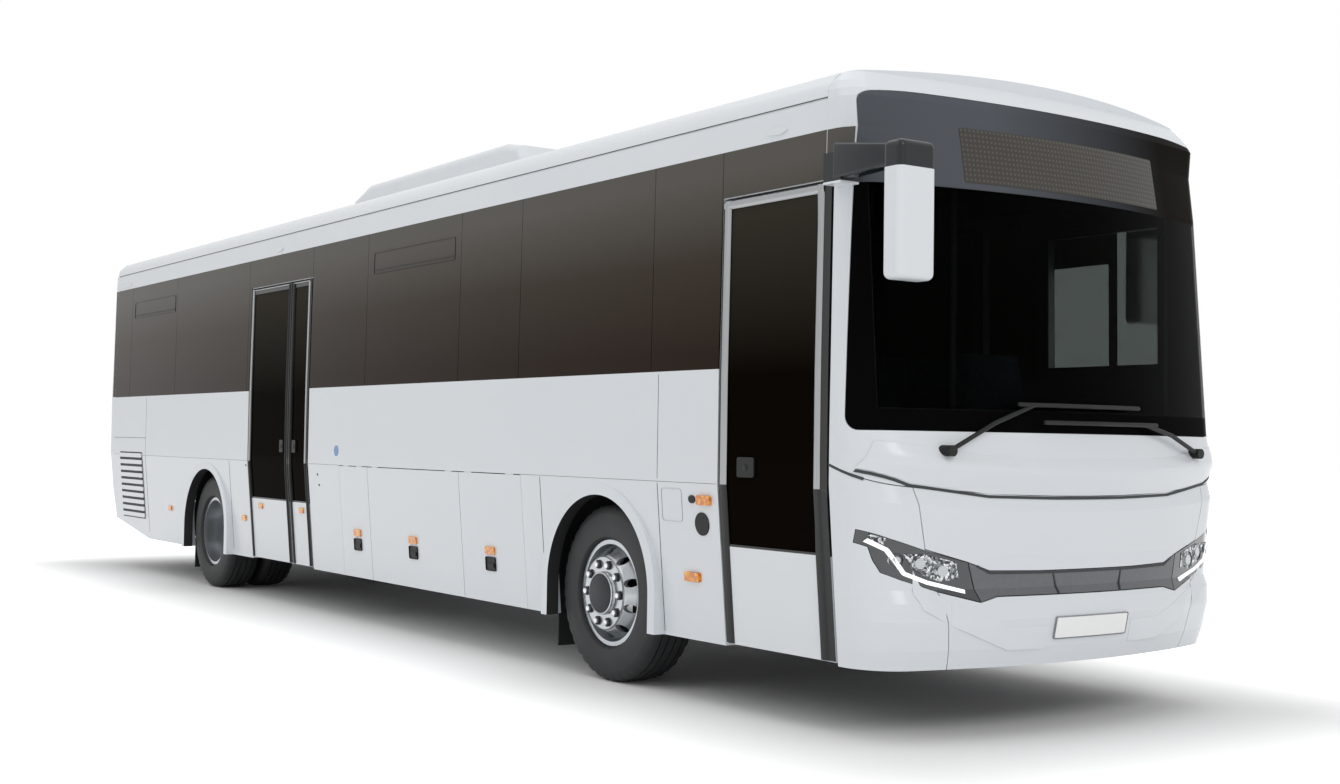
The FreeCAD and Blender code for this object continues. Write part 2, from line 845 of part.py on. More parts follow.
def step_well(name, rear, front):
    """A tray with one step, open to the doorway and above."""
    wall = d.well_wall
    tray = box(name + "_block", rear - wall, front + wall, -d.well_outer, -d.well_inner + wall,
               d.well_low, d.floor_high)
    room = box(name + "_room", rear, front, -d.body_half, -d.well_inner,
               d.well_low + wall, d.floor_high + d.overrun)
    step = box(name + "_step", rear, front, -d.well_inner - d.step_deep, -d.well_inner,
               d.well_low + wall, d.step_high)
    return fuse(name, [cut(name + "_tray", tray, [room]), step])


def box_outline(radius, station, low):
    """A wheel box seen from the side: half a circle above the hub and straight sides below it."""
    return [(station + radius, low), (station + radius, d.arch_high, radius),
            (station - radius, d.arch_high), (station - radius, low)]


def wheel_box(name, side, station):
    inner, outer, wall, low = d.box_inner_half, d.box_outer_half, d.box_wall, d.box_low
    span = sided_span(side, inner, outer)
    shell = prism(name + "_shell", "Y", span[0], span[1], [box_outline(d.box_radius, station, low)])
    span = sided_span(side, inner + wall, outer + d.overrun)
    room = prism(name + "_room", "Y", span[0], span[1],
                 [box_outline(d.box_radius - wall, station, low - d.overrun)])
    notch = box(name + "_notch", station - d.notch_half, station + d.notch_half,
                -outer, outer, low - d.overrun, d.notch_high)
    return cut(name, shell, [room, notch])


floor_deck()
group("step_wells", [step_well("front_well", d.front_door_rear, d.wall_front),
                     step_well("mid_well", -d.mid_door_rear, -d.mid_door_front)])
group("wheel_boxes", [wheel_box("%s_%s_box" % (place, word), side, station)
                      for place, station in (("front", 0), ("rear", -d.wheelbase))
                      for word, side in (("right", RIGHT), ("left", LEFT))])


# Luggage bays under the floor, one tray on each side of the frame

def luggage_bay(side, name):
    high = d.floor_high - d.floor_thick - d.seat_gap
    sheet_metal = d.bay_sheet
    span = (-d.bay_outer, -d.bay_inner) if side == RIGHT else (d.bay_inner, d.bay_outer)
    back = (-d.bay_inner - sheet_metal, -d.bay_inner) if side == RIGHT else (d.bay_inner,
                                                                             d.bay_inner + sheet_metal)
    rear, front = -d.flap_first - sheet_metal, -d.flap_last + sheet_metal
    pieces = [box(name + "_floor", rear, front, span[0], span[1], d.bay_low, d.bay_low + sheet_metal),
              box(name + "_back", rear, front, back[0], back[1], d.bay_low, high)]
    walls = [rear, front - sheet_metal, -d.flap_second if side == RIGHT else -d.flap_split_left]
    for number, station in enumerate(walls):
        pieces.append(box("%s_wall_%d" % (name, number), station, station + sheet_metal,
                          span[0], span[1], d.bay_low, high))
    return fuse(name, pieces)


group("luggage_bays", [luggage_bay(RIGHT, "bay_right"), luggage_bay(LEFT, "bay_left")])


# Chassis: two channel rails, crossmembers, towing eyes and jacking pads

CROSS_SHARES = (0, 0.118, 0.2, 0.29, 0.4, 0.52, 0.64, 0.74, 0.84, 0.92)
RAIL_HIGH = d.floor_high - d.floor_thick - d.seat_gap


def channel_outline(side):
    web, inner, sheet_metal = d.rail_half, d.rail_half - d.rail_width, d.rail_sheet
    points = [(web, d.rail_low), (web, RAIL_HIGH), (inner, RAIL_HIGH), (inner, RAIL_HIGH - sheet_metal),
              (web - sheet_metal, RAIL_HIGH - sheet_metal), (web - sheet_metal, d.rail_low + sheet_metal),
              (inner, d.rail_low + sheet_metal), (inner, d.rail_low)]
    return [(across * side, up) for across, up in points]


def chassis_rail(word, side):
    """A channel rail with a towing lug under each end and two jacking pads."""
    rear, front = -d.rail_rear, d.rail_front
    web, flange, low = d.rail_half - d.rail_sheet, d.rail_low + d.rail_sheet, d.rail_low - d.tow_drop
    pieces, holes = [prism("rail_" + word, "X", rear, front, [channel_outline(side)])], []
    for name, station in (("front", front - d.tow_length), ("rear", rear)):
        name = "%s_%s" % (name, word)
        end = station + d.tow_length
        near, far = sided_span(side, web - d.tow_plate, web)
        pieces.append(box("tow_web_" + name, station, end, near, far, low, flange))
        near, far = sided_span(side, web - d.tow_plate, web - d.tow_plate + d.tow_width)
        pieces.append(box("tow_lug_" + name, station, end, near, far, low, low + d.tow_plate))
        holes.append(cylinder("tow_hole_" + name, "Z", d.tow_radius, low - d.overrun,
                              low + d.tow_plate + d.overrun, station + d.tow_length / 2,
                              (web + (d.tow_width - d.tow_plate) / 2) * side))
    for number, station in enumerate((d.jack_ahead, -d.wheelbase + d.jack_ahead)):
        near, far = sided_span(side, d.rail_half - d.rail_width, d.rail_half)
        pieces.append(box("jack_%d_%s" % (number, word), station, station + d.jack_size, near, far,
                          d.rail_low - d.jack_drop, flange))
    return cut("chassis_rail_" + word, fuse("rail_solid_" + word, pieces), holes)


def chassis_frame():
    rear, front, gap = -d.rail_rear, d.rail_front, d.seat_gap
    half = d.rail_half - d.rail_sheet - gap
    low, high = d.rail_low + d.rail_sheet + gap, RAIL_HIGH - d.rail_sheet - gap
    members = [chassis_rail("right", RIGHT), chassis_rail("left", LEFT)]
    for number, share in enumerate(CROSS_SHARES):
        start = rear + (front - rear) * share
        members.append(box("cross_%d" % number, start, start + d.cross_width, -half, half, low, high))
    group("chassis_frame", members)


chassis_frame()
engine_half = d.rail_half - d.rail_width - d.seat_gap
group("engine_block", [box("engine", -d.engine_rear, -d.engine_front, -engine_half, engine_half,
                           d.engine_low, d.engine_high)])


# Axles

def front_axle():
    half = d.beam_width / 2
    inner = d.kingpin_half - d.fist_radius / 2
    hub = d.tyre_radius
    pieces = [box("front_beam", -half, half, -inner, inner, d.beam_low, d.beam_high)]
    holes = []
    for word, side in (("right", RIGHT), ("left", LEFT)):
        at = d.kingpin_half * side
        pieces.append(cylinder("fist_" + word, "Z", d.fist_radius, hub - d.fist_half, hub + d.fist_half,
                               0, at))
        holes.append(cylinder("fist_hole_" + word, "Z", d.kingpin_radius + d.pin_clear,
                              hub - d.fist_half - d.overrun, hub + d.fist_half + d.overrun, 0, at))
        pieces.append(cylinder("front_spring_" + word, "Z", d.spring_radius, d.beam_high,
                               d.rail_low - d.seat_gap, 0, (d.rail_half - d.rail_width / 2) * side))
    subpart(cut("front_axle", fuse("front_axle_solid", pieces), holes), "front_axle")


def rear_axle():
    hub, station = d.tyre_radius, -d.wheelbase
    end = d.track_half - d.nave_back - d.seat_gap
    pieces = [cylinder("rear_tube", "Y", d.rear_tube, -end, end, station, hub),
              cylinder("differential", "Y", d.diff_radius, -d.diff_half, d.diff_half, station, hub)]
    for word, side in (("right", RIGHT), ("left", LEFT)):
        at = (d.rail_half - d.rail_width / 2) * side
        half = d.spring_beam_width / 2
        pieces.append(box("spring_beam_" + word, station - d.spring_beam_half, station + d.spring_beam_half,
                          at - half, at + half, hub - half - d.spring_foot / 2, hub + d.spring_foot / 2))
        for number, offset in enumerate((-1, 1)):
            place = station + (d.spring_beam_half - d.spring_radius) * offset
            pieces.append(cylinder("rear_spring_%s_%d" % (word, number), "Z", d.spring_radius,
                                   hub, d.rail_low - d.seat_gap, place, at))
        inner, outer = d.drum_inner, end - d.spring_foot
        span = (-outer, -inner) if side == RIGHT else (inner, outer)
        pieces.append(cylinder("drum_" + word, "Y", d.drum_radius, span[0], span[1], station, hub))
    subpart(fuse("rear_axle", pieces), "rear_axle")


def knuckle(side, word):
    """Fork about the axle's fist, with the kingpin and the spindle; drawn about the kingpin's foot."""
    hub, fist, ear = d.tyre_radius, d.fist_half, d.ear_thick
    gap = d.seat_gap
    plate_in = d.fist_radius + d.flap_gap
    plate_out = plate_in + d.knuckle_plate
    levels = ((hub - fist - gap - ear, hub - fist - gap), (hub + fist + gap, hub + fist + gap + ear))
    span = (-plate_out, -plate_in) if side == RIGHT else (plate_in, plate_out)
    pieces = [box("knuckle_plate_" + word, -d.fist_radius, d.fist_radius, span[0], span[1],
                  levels[0][0], levels[1][1]),
              cylinder("kingpin_" + word, "Z", d.kingpin_radius, levels[0][0], levels[1][1], 0, 0)]
    for number, (low, high) in enumerate(levels):
        pieces.append(cylinder("ear_%s_%d" % (word, number), "Z", d.fist_radius, low, high, 0, 0))
        bridge = (-plate_out, 0) if side == RIGHT else (0, plate_out)
        pieces.append(box("ear_bridge_%s_%d" % (word, number), -d.fist_radius, d.fist_radius,
                          bridge[0], bridge[1], low, high))
    tip = d.track_half + d.hub_back - d.kingpin_half - gap
    reach = (-tip, -plate_in) if side == RIGHT else (plate_in, tip)
    pieces.append(cylinder("spindle_" + word, "Y", d.spindle_radius, reach[0], reach[1], 0, hub))
    subpart(fuse("knuckle_" + word, pieces), "knuckle_" + word, 0, d.kingpin_half * side)


front_axle()
rear_axle()
knuckle(RIGHT, "right")
knuckle(LEFT, "left")


# Wheels

def sided(outline, side):
    """Mirror a profile drawn for the left wheels; arcs then bulge the other way."""
    return [tuple([corner[0] * side, corner[1]] + [-amount if side == RIGHT else amount
                                                   for amount in corner[2:]]) for corner in outline]


def bulge_radius(chord, sagitta):
    return chord * chord / (8 * sagitta) + sagitta / 2


def tyre_outline(offset, side):
    """Cross-section of a tyre: bead seats, bulged walls, rounded shoulders and a crowned tread."""
    gap = d.seat_gap
    bead_in, bead_out = d.rim_seat + gap, d.rim_seat + d.rim_flange + gap
    shoulder, crown = d.tyre_radius - d.shoulder_drop, d.tyre_radius - d.tread_drop
    bead, edge = d.bead_half - gap, d.shoulder_half
    wall = bulge_radius(shoulder - bead_out, d.tyre_half_width - (bead + edge) / 2)
    tread = bulge_radius(2 * d.tread_half, d.tread_drop)
    points = [(-bead, bead_in), (bead, bead_in), (bead, bead_out, wall), (edge, shoulder, d.shoulder_radius),
              (d.tread_half, crown, tread), (-d.tread_half, crown, d.shoulder_radius),
              (-edge, shoulder, wall), (-bead, bead_out)]
    return sided([(corner[0] + offset,) + tuple(corner[1:]) for corner in points], side)


def front_rim_outline():
    """Rim whose disc bulges outward to the nut ring."""
    half, lip, seat = d.rim_half, d.rim_half - d.rim_lip, d.rim_seat
    flange, barrel = seat + d.rim_flange, seat - d.rim_wall
    ring, wall = d.ring_out, d.rim_lip
    return [(-half, barrel), (-half, flange), (-lip, flange), (-lip, seat), (lip, seat), (lip, flange),
            (half, flange), (half, barrel), (half / 2, barrel), (ring - wall, d.ring_radius + wall),
            (ring, d.ring_radius), (ring, d.hub_radius + wall), (d.cap_out, d.hub_radius),
            (d.cap_out, 0), (d.hub_back, 0), (d.hub_back, d.hub_radius), (ring - wall, d.hub_radius),
            (ring - wall, d.ring_radius - wall), (ring - 2 * wall, d.ring_radius),
            (half / 2 - wall, barrel)]


def rear_rim_outline():
    """Two barrels on one dished disc, with the hub's nave standing out of the dish."""
    half, lip, seat = d.rim_half, d.rim_half - d.rim_lip, d.rim_seat
    flange, barrel, wall, twin = seat + d.rim_flange, seat - d.rim_wall, d.rim_lip, d.twin_pitch
    dish = -d.dish_in
    return [(-twin - half, barrel), (-twin - half, flange), (-twin - lip, flange), (-twin - lip, seat),
            (lip - twin, seat), (lip - twin, flange), (half - twin, flange), (half - twin, seat),
            (-half, seat), (-half, flange), (-lip, flange), (-lip, seat), (lip, seat), (lip, flange),
            (half, flange), (half, barrel), (-half, barrel), (dish, d.ring_radius + wall),
            (dish, d.hub_radius + wall), (-d.nave_in - wall, d.hub_radius), (-d.nave_in, d.hub_radius - wall),
            (-d.nave_in, 0), (-d.nave_back, 0), (-d.nave_back, d.hub_radius),
            (dish - wall, d.hub_radius + wall), (dish - wall, d.ring_radius + wall), (-half - wall, barrel)]


NUTS = 10


def ring_of_circles(circle_radius, radius, turn=0):
    """Centres and radius of the evenly spaced circles on a wheel; turn is a share of one step."""
    steps = [(number + turn) * 2 * math.pi / NUTS for number in range(NUTS)]
    return [(circle_radius * math.cos(step), circle_radius * math.sin(step), radius) for step in steps]


def wheel(side, word, station, is_front):
    place = "front" if is_front else "rear"
    label = "%s_%s" % (place, word)
    rim = turned("rim_" + label, sided(front_rim_outline() if is_front else rear_rim_outline(), side))
    face = d.ring_out if is_front else -d.dish_in
    near, far = face, face + d.nut_high
    span = (-far, -near) if side == RIGHT else (near, far)
    add_pad(rim, "Y", span[0], span[1], circles=ring_of_circles(d.nut_circle, d.nut_radius))
    if is_front:
        near, far = d.rim_lip, d.ring_out
        span = (-far, -near) if side == RIGHT else (near, far)
        add_pocket(rim, "Y", span[0], span[1], circles=ring_of_circles(d.hole_circle, d.hole_radius, 0.5))
    at = d.track_half * side
    subpart(rim, "rim_" + label, station, at, d.tyre_radius)
    tyres = [turned("tyre_" + label + "_outer", tyre_outline(0, side))]
    if not is_front:
        tyres.append(turned("tyre_" + label + "_inner", tyre_outline(-d.twin_pitch, side)))
    both = doc.addObject("Part::Compound", "tyre_" + label)
    both.Links = tyres
    subpart(both, "tyre_" + label, station, at, d.tyre_radius)


for side, word in ((RIGHT, "right"), (LEFT, "left")):
    wheel(side, word, 0, True)
    wheel(side, word, -d.wheelbase, False)


# Rounded front and rear ends: layers of one shell, lofted through D-shaped level sections

class End:
    """The coach's front or rear end: direction along X, wall joint and the sections from low to high."""

    def __init__(self, way, joint, reach, levels):
        self.way = way
        self.joint = joint
        self.reach = reach
        self.levels = levels
        self.solids = {}

    def section(self, height, rise, setback, corner, bow, half, depth):
        """One level: side lines from the wall joint, corner arcs and a bowed face.

        The height is the tip's, and the section climbs by rise from there to the wall joint.
        """
        overrun = float(d.overrun) if depth else 0
        half, corner, bow = half - depth, corner - depth, bow - depth
        tip = self.reach - setback - depth
        corner_x = tip - bow + math.sqrt((bow - corner) ** 2 - (half - corner) ** 2)
        lean = math.asin((half - corner) / (bow - corner))
        face = (tip - bow + bow * math.cos(lean), bow * math.sin(lean))
        bend = (math.pi / 2 + lean) / 2
        swing = (corner_x + corner * math.cos(bend), half - corner + corner * math.sin(bend))
        back = self.joint - overrun

        climb = rise / (self.reach - self.joint)

        def point(x, y):
            return FreeCAD.Vector(x * self.way, y, height + climb * (self.reach - x))

        return Part.Wire([
            Part.makeLine(point(back, -half), point(corner_x, -half)),
            Part.Arc(point(corner_x, -half), point(swing[0], -swing[1]), point(face[0], -face[1])).toShape(),
            Part.Arc(point(face[0], -face[1]), point(tip, 0), point(face[0], face[1])).toShape(),
            Part.Arc(point(face[0], face[1]), point(swing[0], swing[1]), point(corner_x, half)).toShape(),
            Part.makeLine(point(corner_x, half), point(back, half)),
            Part.makeLine(point(back, half), point(back, -half))])

    def solid(self, depth=0):
        """The end sunk by a depth from its skin on every face but the open ones."""
        depth = float(depth)
        if depth not in self.solids:
            levels = list(self.levels)
            if depth > 0:
                levels[0] = (levels[0][0] - float(d.overrun),) + levels[0][1:]
            loft = Part.makeLoft([self.section(*level, depth) for level in levels], True, True)
            self.solids[depth] = loft.common(crown_cap(depth, self.way * self.reach))
        return self.solids[depth]

    def layer(self, outer, inner):
        return self.solid(outer).cut(self.solid(inner))


ROOF_EDGE_HALF = d.body_half - d.gutter_lean - d.roof_edge_inset


def crown_radius():
    return bulge_radius(2 * ROOF_EDGE_HALF, d.crown_high - d.roof_edge_high)


def crown_cap(depth, reach):
    """Everything under the roof's crown arc, sunk by a depth."""
    radius, top = float(crown_radius()), float(d.crown_high)
    wide = float(d.body_half)
    centre = top - radius
    inner = radius - depth
    edge = centre + math.sqrt(inner ** 2 - wide ** 2)
    corners = [FreeCAD.Vector(0, -wide, edge), FreeCAD.Vector(0, 0, centre + inner),
               FreeCAD.Vector(0, wide, edge), FreeCAD.Vector(0, wide, 0), FreeCAD.Vector(0, -wide, 0)]
    wire = Part.Wire([Part.Arc(*corners[:3]).toShape(), Part.makeLine(corners[2], corners[3]),
                      Part.makeLine(corners[3], corners[4]), Part.makeLine(corners[4], corners[0])])
    return Part.Face(wire).extrude(FreeCAD.Vector(reach + math.copysign(float(d.overrun), reach), 0, 0))


def side_half(height):
    return float(side_out(Size(height, "")))


HALF, CROWN = float(d.body_half), float(d.crown_high)
GROOVE_SLOPE = float((d.groove_corner_high - d.groove_nose_high)
                     / (d.nose_reach - d.front_door_front - d.screen_frame))
NOSE_HEIGHTS = (d.skirt_low, d.chin_high, d.bumper_high, d.bumper_brow_high, d.grille_low, d.grille_high,
                d.panel_brow_high, d.groove_nose_high, d.crease_high, d.screen_low, d.door_head, d.head_high)
# Setback from the nose and corner radius of each level as shares of the coach's half width, and its slope as
# a share of the groove's
NOSE_SHARES = ((0.047, 0.196, 0), (0.022, 0.196, 0), (0, 0.196, 0), (0.003, 0.196, 0), (0.024, 0.196, 0),
               (0.024, 0.196, 0), (0.005, 0.196, 0.85), (0.023, 0.196, 1), (0.003, 0.196, 0.6),
               (0.027, 0.196, 0), (0.1, 0.172, 0), (0.133, 0.133, 0))
BROW_HEIGHTS = (d.gutter_high, d.screen_high, d.screen_high + d.roof_thick,
                d.roof_edge_high)
BROW_SHARES = ((0.17, 0.11, 1), (0.19, 0.1, 0.996), (0.22, 0.085, 0.978), (0.255, 0.06, 0.9365))


def nose_levels():
    levels = []
    for height, (back, corner, slope) in zip(NOSE_HEIGHTS, NOSE_SHARES):
        rise = GROOVE_SLOPE * slope * float(d.nose_reach - d.wall_front)
        levels.append((float(height), rise, HALF * back, HALF * corner, float(d.bow_radius),
                       side_half(float(height) + rise)))
    gutter = side_half(float(d.gutter_high))
    for height, (back, corner, half) in zip(BROW_HEIGHTS, BROW_SHARES):
        levels.append((float(height), 0, HALF * back, HALF * corner, float(d.brow_bow_radius), gutter * half))
    levels.append((CROWN + float(d.overrun),) + levels[-1][1:])
    return levels


TAIL_SHARES = ((0.086, 0.09, 0), (0.016, 0.11, 0), (0, 0.118, 0), (0, 0.118, 0), (0.02, 0.11, 0),
               (0.051, 0.094, 1), (0.071, 0.07, 0.985), (0.102, 0.047, 0.9365))
TAIL_BREAK_SHARE = 0.55
TAIL_HEIGHTS = (d.tail_low, d.tail_chin_high, d.belt_high, d.sill_high, d.head_high, d.gutter_high,
                d.gutter_high + (d.roof_edge_high - d.gutter_high) * TAIL_BREAK_SHARE, d.roof_edge_high)


def tail_levels():
    gutter = side_half(float(d.gutter_high))
    levels = [(float(height), 0, HALF * back, HALF * corner, float(d.tail_bow_radius),
               gutter * half if half else side_half(float(height)))
              for height, (back, corner, half) in zip(TAIL_HEIGHTS, TAIL_SHARES)]
    levels.append((CROWN + float(d.overrun),) + levels[-1][1:])
    return levels


nose = End(1, float(d.wall_front + d.seat_gap), float(d.nose_reach), nose_levels())
tail = End(-1, float(d.wall_rear + d.seat_gap), float(d.tail_reach), tail_levels())
PANEL = float(d.front_panel_thick)


def faced(points):
    return Part.Face(Part.makePolygon(points + [points[0]]))


def along_x(outline, start, finish, offset=0):
    """A prism along X from an outline of (across, up) corners, grown by offset."""
    face = faced([FreeCAD.Vector(float(start), float(across), float(up)) for across, up in outline])
    if offset:
        face = face.makeOffset2D(float(offset), 2)
    return face.extrude(FreeCAD.Vector(float(finish) - float(start), 0, 0))


def block(x0, x1, y0, y1, z0, z1):
    corner = FreeCAD.Vector(min(float(x0), float(x1)), min(float(y0), float(y1)), float(z0))
    return Part.makeBox(abs(float(x1 - x0)), abs(float(y1 - y0)), float(z1 - z0), corner)


def along_y(outline):
    """A prism across the whole coach from an outline of (along, up) corners."""
    wide = float(d.body_half + d.overrun * 4)
    face = faced([FreeCAD.Vector(float(along), -wide, float(up)) for along, up in outline])
    return face.extrude(FreeCAD.Vector(0, 2 * wide, 0))


def rounded(solid, radius, at_x):
    """Round the edges that run across the coach at a station."""
    edges = [edge for edge in solid.Edges
             if abs(edge.BoundBox.YLength - edge.Length) < 1e-6
             and abs(edge.BoundBox.XMin - float(at_x)) < 1e-6]
    return solid.makeFillet(float(radius), edges)


def put_freeform(label, shape):
    return subpart(freeform(label, shape), label)


def screen_region(grow):
    """The windscreen's outline seen from the side, grown by an amount all round."""
    back = float(d.screen_back) - grow
    outline = rectangle(back, float(d.nose_reach + d.overrun), float(d.screen_low) - grow,
                        float(d.screen_high) + grow)
    return rounded(along_y(outline), d.screen_corner, back)


def groove_region(upper, shift):
    """All that lies above or below the groove that dips from the corners to the nose."""
    ends = [float(d.wall_front - d.overrun), float(d.nose_reach + d.overrun)]
    line = [(along, float(d.groove_nose_high) + GROOVE_SLOPE * (float(d.nose_reach) - along) + shift)
            for along in ends]
    level = float(d.crown_high + d.overrun * 2) if upper else 0
    return along_y([line[0], line[1], (ends[1], level), (ends[0], level)])


def door_notch():
    low, high = float(d.wall_front - d.overrun), float(d.front_door_front)
    return Part.makeBox(high - low, HALF + float(d.overrun), float(d.door_head),
                        FreeCAD.Vector(low, -HALF - float(d.overrun), 0))


# Front outlines seen from ahead, as shares of the half width across and of the crown's height up
LAMP_SHARES = ((0.977, 0.3075), (0.893, 0.2945), (0.758, 0.277), (0.587, 0.2595), (0.569, 0.232),
               (0.547, 0.2015), (0.718, 0.218), (0.858, 0.2355), (0.917, 0.2455), (0.937, 0.2625),
               (0.951, 0.282), (0.976, 0.2875))
GRILLE_SHARES = ((0.587, 0.2595), (0.494, 0.2465), (0.26, 0.2445), (-0.26, 0.2445), (-0.494, 0.2465),
                 (-0.587, 0.2595), (-0.547, 0.2015), (-0.467, 0.209), (0.467, 0.209), (0.547, 0.2015))
CENTRE_SHARES = ((0.84, 0.42), (0.8, 0.3385), (0.765, 0.279), (0.587, 0.2595), (0.494, 0.2465),
                 (0.26, 0.2445), (-0.26, 0.2445), (-0.494, 0.2465), (-0.587, 0.2595), (-0.765, 0.279),
                 (-0.8, 0.3385), (-0.84, 0.42))
BUMPER_SHARES = ((0.715, 0.218), (0.683, 0.171), (0.643, 0.08), (-0.643, 0.08), (-0.683, 0.171),
                 (-0.715, 0.218), (-0.547, 0.2015), (-0.467, 0.209), (0.467, 0.209), (0.547, 0.2015))


def front_outline(shares, side=1):
    return [(across * HALF * side, up * CROWN) for across, up in shares]


def front_prism(shares, offset, side=1):
    return along_x(front_outline(shares, side), d.screen_back + d.pane_joint * 3,
                   d.nose_reach + d.overrun, offset)


def front_end():
    gap = float(d.panel_gap) / 2
    seat = float(d.seat_gap)
    frame_out = PANEL + seat
    frame_in = frame_out + float(d.front_frame_thick)
    skin = nose.layer(0, PANEL)
    lamps = [front_prism(LAMP_SHARES, -gap, side) for side in (1, -1)]
    lamp_holes = [front_prism(LAMP_SHARES, 0, side) for side in (1, -1)]
    grille = front_prism(GRILLE_SHARES, -gap)
    centre = front_prism(CENTRE_SHARES, -gap)
    bumper = front_prism(BUMPER_SHARES, -gap)
    notch = door_notch()
    mask = skin.common(groove_region(True, gap)).cut(screen_region(gap)).cut(notch)
    put_freeform("front_mask", mask)
    lower = skin.common(groove_region(False, -gap)).cut(notch)
    put_freeform("front_centre_panel", lower.common(centre))
    put_freeform("front_bumper", lower.common(bumper))
    put_freeform("grille_bar", lower.common(grille))
    whole = [front_prism(shares, gap) for shares in (GRILLE_SHARES, CENTRE_SHARES, BUMPER_SHARES)]
    corners = lower.cut(whole[0]).cut(whole[1]).cut(whole[2])
    for hole in lamp_holes:
        corners = corners.cut(hole)
    put_freeform("front_corners", corners)
    lamp_body = nose.layer(0, d.lamp_depth)
    put_freeform("headlamps", Part.makeCompound([lamp_body.common(lamp) for lamp in lamps]))
    frame = nose.layer(frame_out, frame_in).cut(screen_region(-float(d.screen_frame))).cut(notch)
    frame = frame.cut(block(-d.tail_reach, d.wall_front + d.seat_gap, -d.body_half, d.body_half,
                            0, d.crown_high))
    frame = frame.cut(block(0, d.nose_reach, -d.body_half, d.body_half, 0, d.skirt_low + d.roof_joint))
    for side in (1, -1):
        frame = frame.cut(front_prism(LAMP_SHARES, -gap + seat, side))
    put_freeform("front_frame", frame)
    put_freeform("windscreen", skin.common(screen_region(-seat)))


front_end()


def rear_prism(inner, outer, low, high, offset, radius=0):
    """A rounded rectangle seen from behind, as a prism that reaches from the wall joint past the tail."""
    start, finish = float(-d.tail_reach - d.overrun), float(-d.wall_rear)
    grow = float(offset)
    box_solid = Part.makeBox(finish - start, float(outer) - float(inner) + 2 * grow,
                             float(high) - float(low) + 2 * grow,
                             FreeCAD.Vector(start, float(inner) - grow, float(low) - grow))
    if not radius:
        return box_solid
    edges = [edge for edge in box_solid.Edges if abs(edge.BoundBox.XLength - edge.Length) < 1e-6]
    return box_solid.makeFillet(float(radius), edges)


def rear_end():
    seat, gap = float(d.seat_gap), float(d.flap_gap)
    thick, glass = float(d.rear_thick), float(d.glass_thick)
    skin = tail.layer(0, thick)
    pane = (-d.rear_glass_half, d.rear_glass_half, d.rear_glass_low, d.rear_glass_high)
    corner = d.rear_glass_corner
    glass_layer = tail.layer(0, glass)
    put_freeform("rear_glass", glass_layer.common(rear_prism(*pane, -seat, corner)))
    mask = skin.cut(tail.layer(0, glass + seat).common(rear_prism(*pane, 0, corner)))
    mask = mask.cut(rear_prism(*pane, -float(d.rail_margin), corner - d.rail_margin / 2))
    opening = (-d.lid_half, d.lid_half, d.lid_low, d.lid_high)
    mask = mask.cut(rear_prism(*opening, 0))
    lamps = []
    for side in (1, -1):
        inner, outer = sorted((float(d.lamp_inner) * side, float(d.lamp_outer) * side))
        mask = mask.cut(rear_prism(inner, outer, d.lamp_low, d.lamp_high, 0))
        lamps.append(skin.common(rear_prism(inner, outer, d.lamp_low, d.lamp_high, -seat)))
    put_freeform("rear_mask", mask)
    put_freeform("tail_lamps", Part.makeCompound(lamps))
    lid = skin.common(rear_prism(*opening, -gap))
    barrels = []
    out = -float(d.tail_reach + d.hinge_proud)
    up = float(d.lid_high - d.hinge_radius - d.seat_gap)
    length = float(d.hinge_length)
    for start in (-length * 2, length):
        barrels.append(Part.makeCylinder(float(d.hinge_radius), length, FreeCAD.Vector(out, start, up),
                                         FreeCAD.Vector(0, 1, 0)))
    put_freeform("engine_lid", lid.fuse(barrels))


rear_end()


# Roof: one shell with rounded edges, set over the wall tops with a recessed joint

def roof_shell():
    seat, thick = d.seat_gap, d.roof_thick
    low, lip = d.gutter_high + d.seat_gap, d.gutter_high + d.roof_joint
    side = d.body_half - d.gutter_lean
    recess = side - d.lamp_proud
    edge_half, edge_high = ROOF_EDGE_HALF, d.roof_edge_high
    crown, edge = crown_radius(), d.roof_edge_radius
    outline = [(recess, low), (recess, lip), (side, lip, edge), (edge_half, edge_high, crown),
               (-edge_half, edge_high, edge), (-side, lip), (-recess, lip), (-recess, low),
               (-side + thick, low), (-side + thick, lip, -(edge - thick)),
               (-edge_half + thick / 2, edge_high - thick, -(crown - thick)),
               (edge_half - thick / 2, edge_high - thick, -(edge - thick)),
               (side - thick, lip), (side - thick, low)]
    return subpart(prism("roof_shell", "X", -d.wall_rear, d.wall_front, [outline]), "roof_shell")


UNIT_SHARES = ((0, 0), (1, 0), (0.998, 0.3), (0.965, 0.86), (0.89, 1), (0.12, 0.94), (0.02, 0.62), (0, 0.2))


def roof_unit():
    """Pod with sloping ends, its foot shaped to the roof's crown."""
    low, tall, length = d.roof_edge_high, d.unit_high - d.roof_edge_high, d.unit_rear - d.unit_front
    outline = [(length * along - d.unit_rear, low + tall * up) for along, up in UNIT_SHARES]
    pod = prism("unit_pod", "Y", -d.unit_half, d.unit_half, [outline])
    doc.recompute()
    edges = [edge for edge in pod.Shape.Edges
             if abs(abs(edge.CenterOfMass.y) - float(d.unit_half)) < 1e-3 and edge.CenterOfMass.z > CROWN]
    rounded_pod = pod.Shape.makeFillet(float(d.unit_fillet), edges)
    put_freeform("roof_unit", rounded_pod.cut(roof_space(float(d.seat_gap))))


def roof_space(grow):
    """All that lies under the roof's skin, grown by an amount."""
    return crown_cap(-grow, -float(d.tail_reach))


roof_shell()
roof_unit()


# Cabin

def seat_profile(back, low, high):
    """A seat from the side: cushion, raked backrest and a rounded-off head."""
    deep, thick, rest = d.cushion_deep, d.cushion_thick, d.backrest_thick
    return [(back, low), (back + deep, low), (back + deep, low + thick), (back + rest / 2, low + thick),
            (back - rest, high), (back - rest * 2, high)]


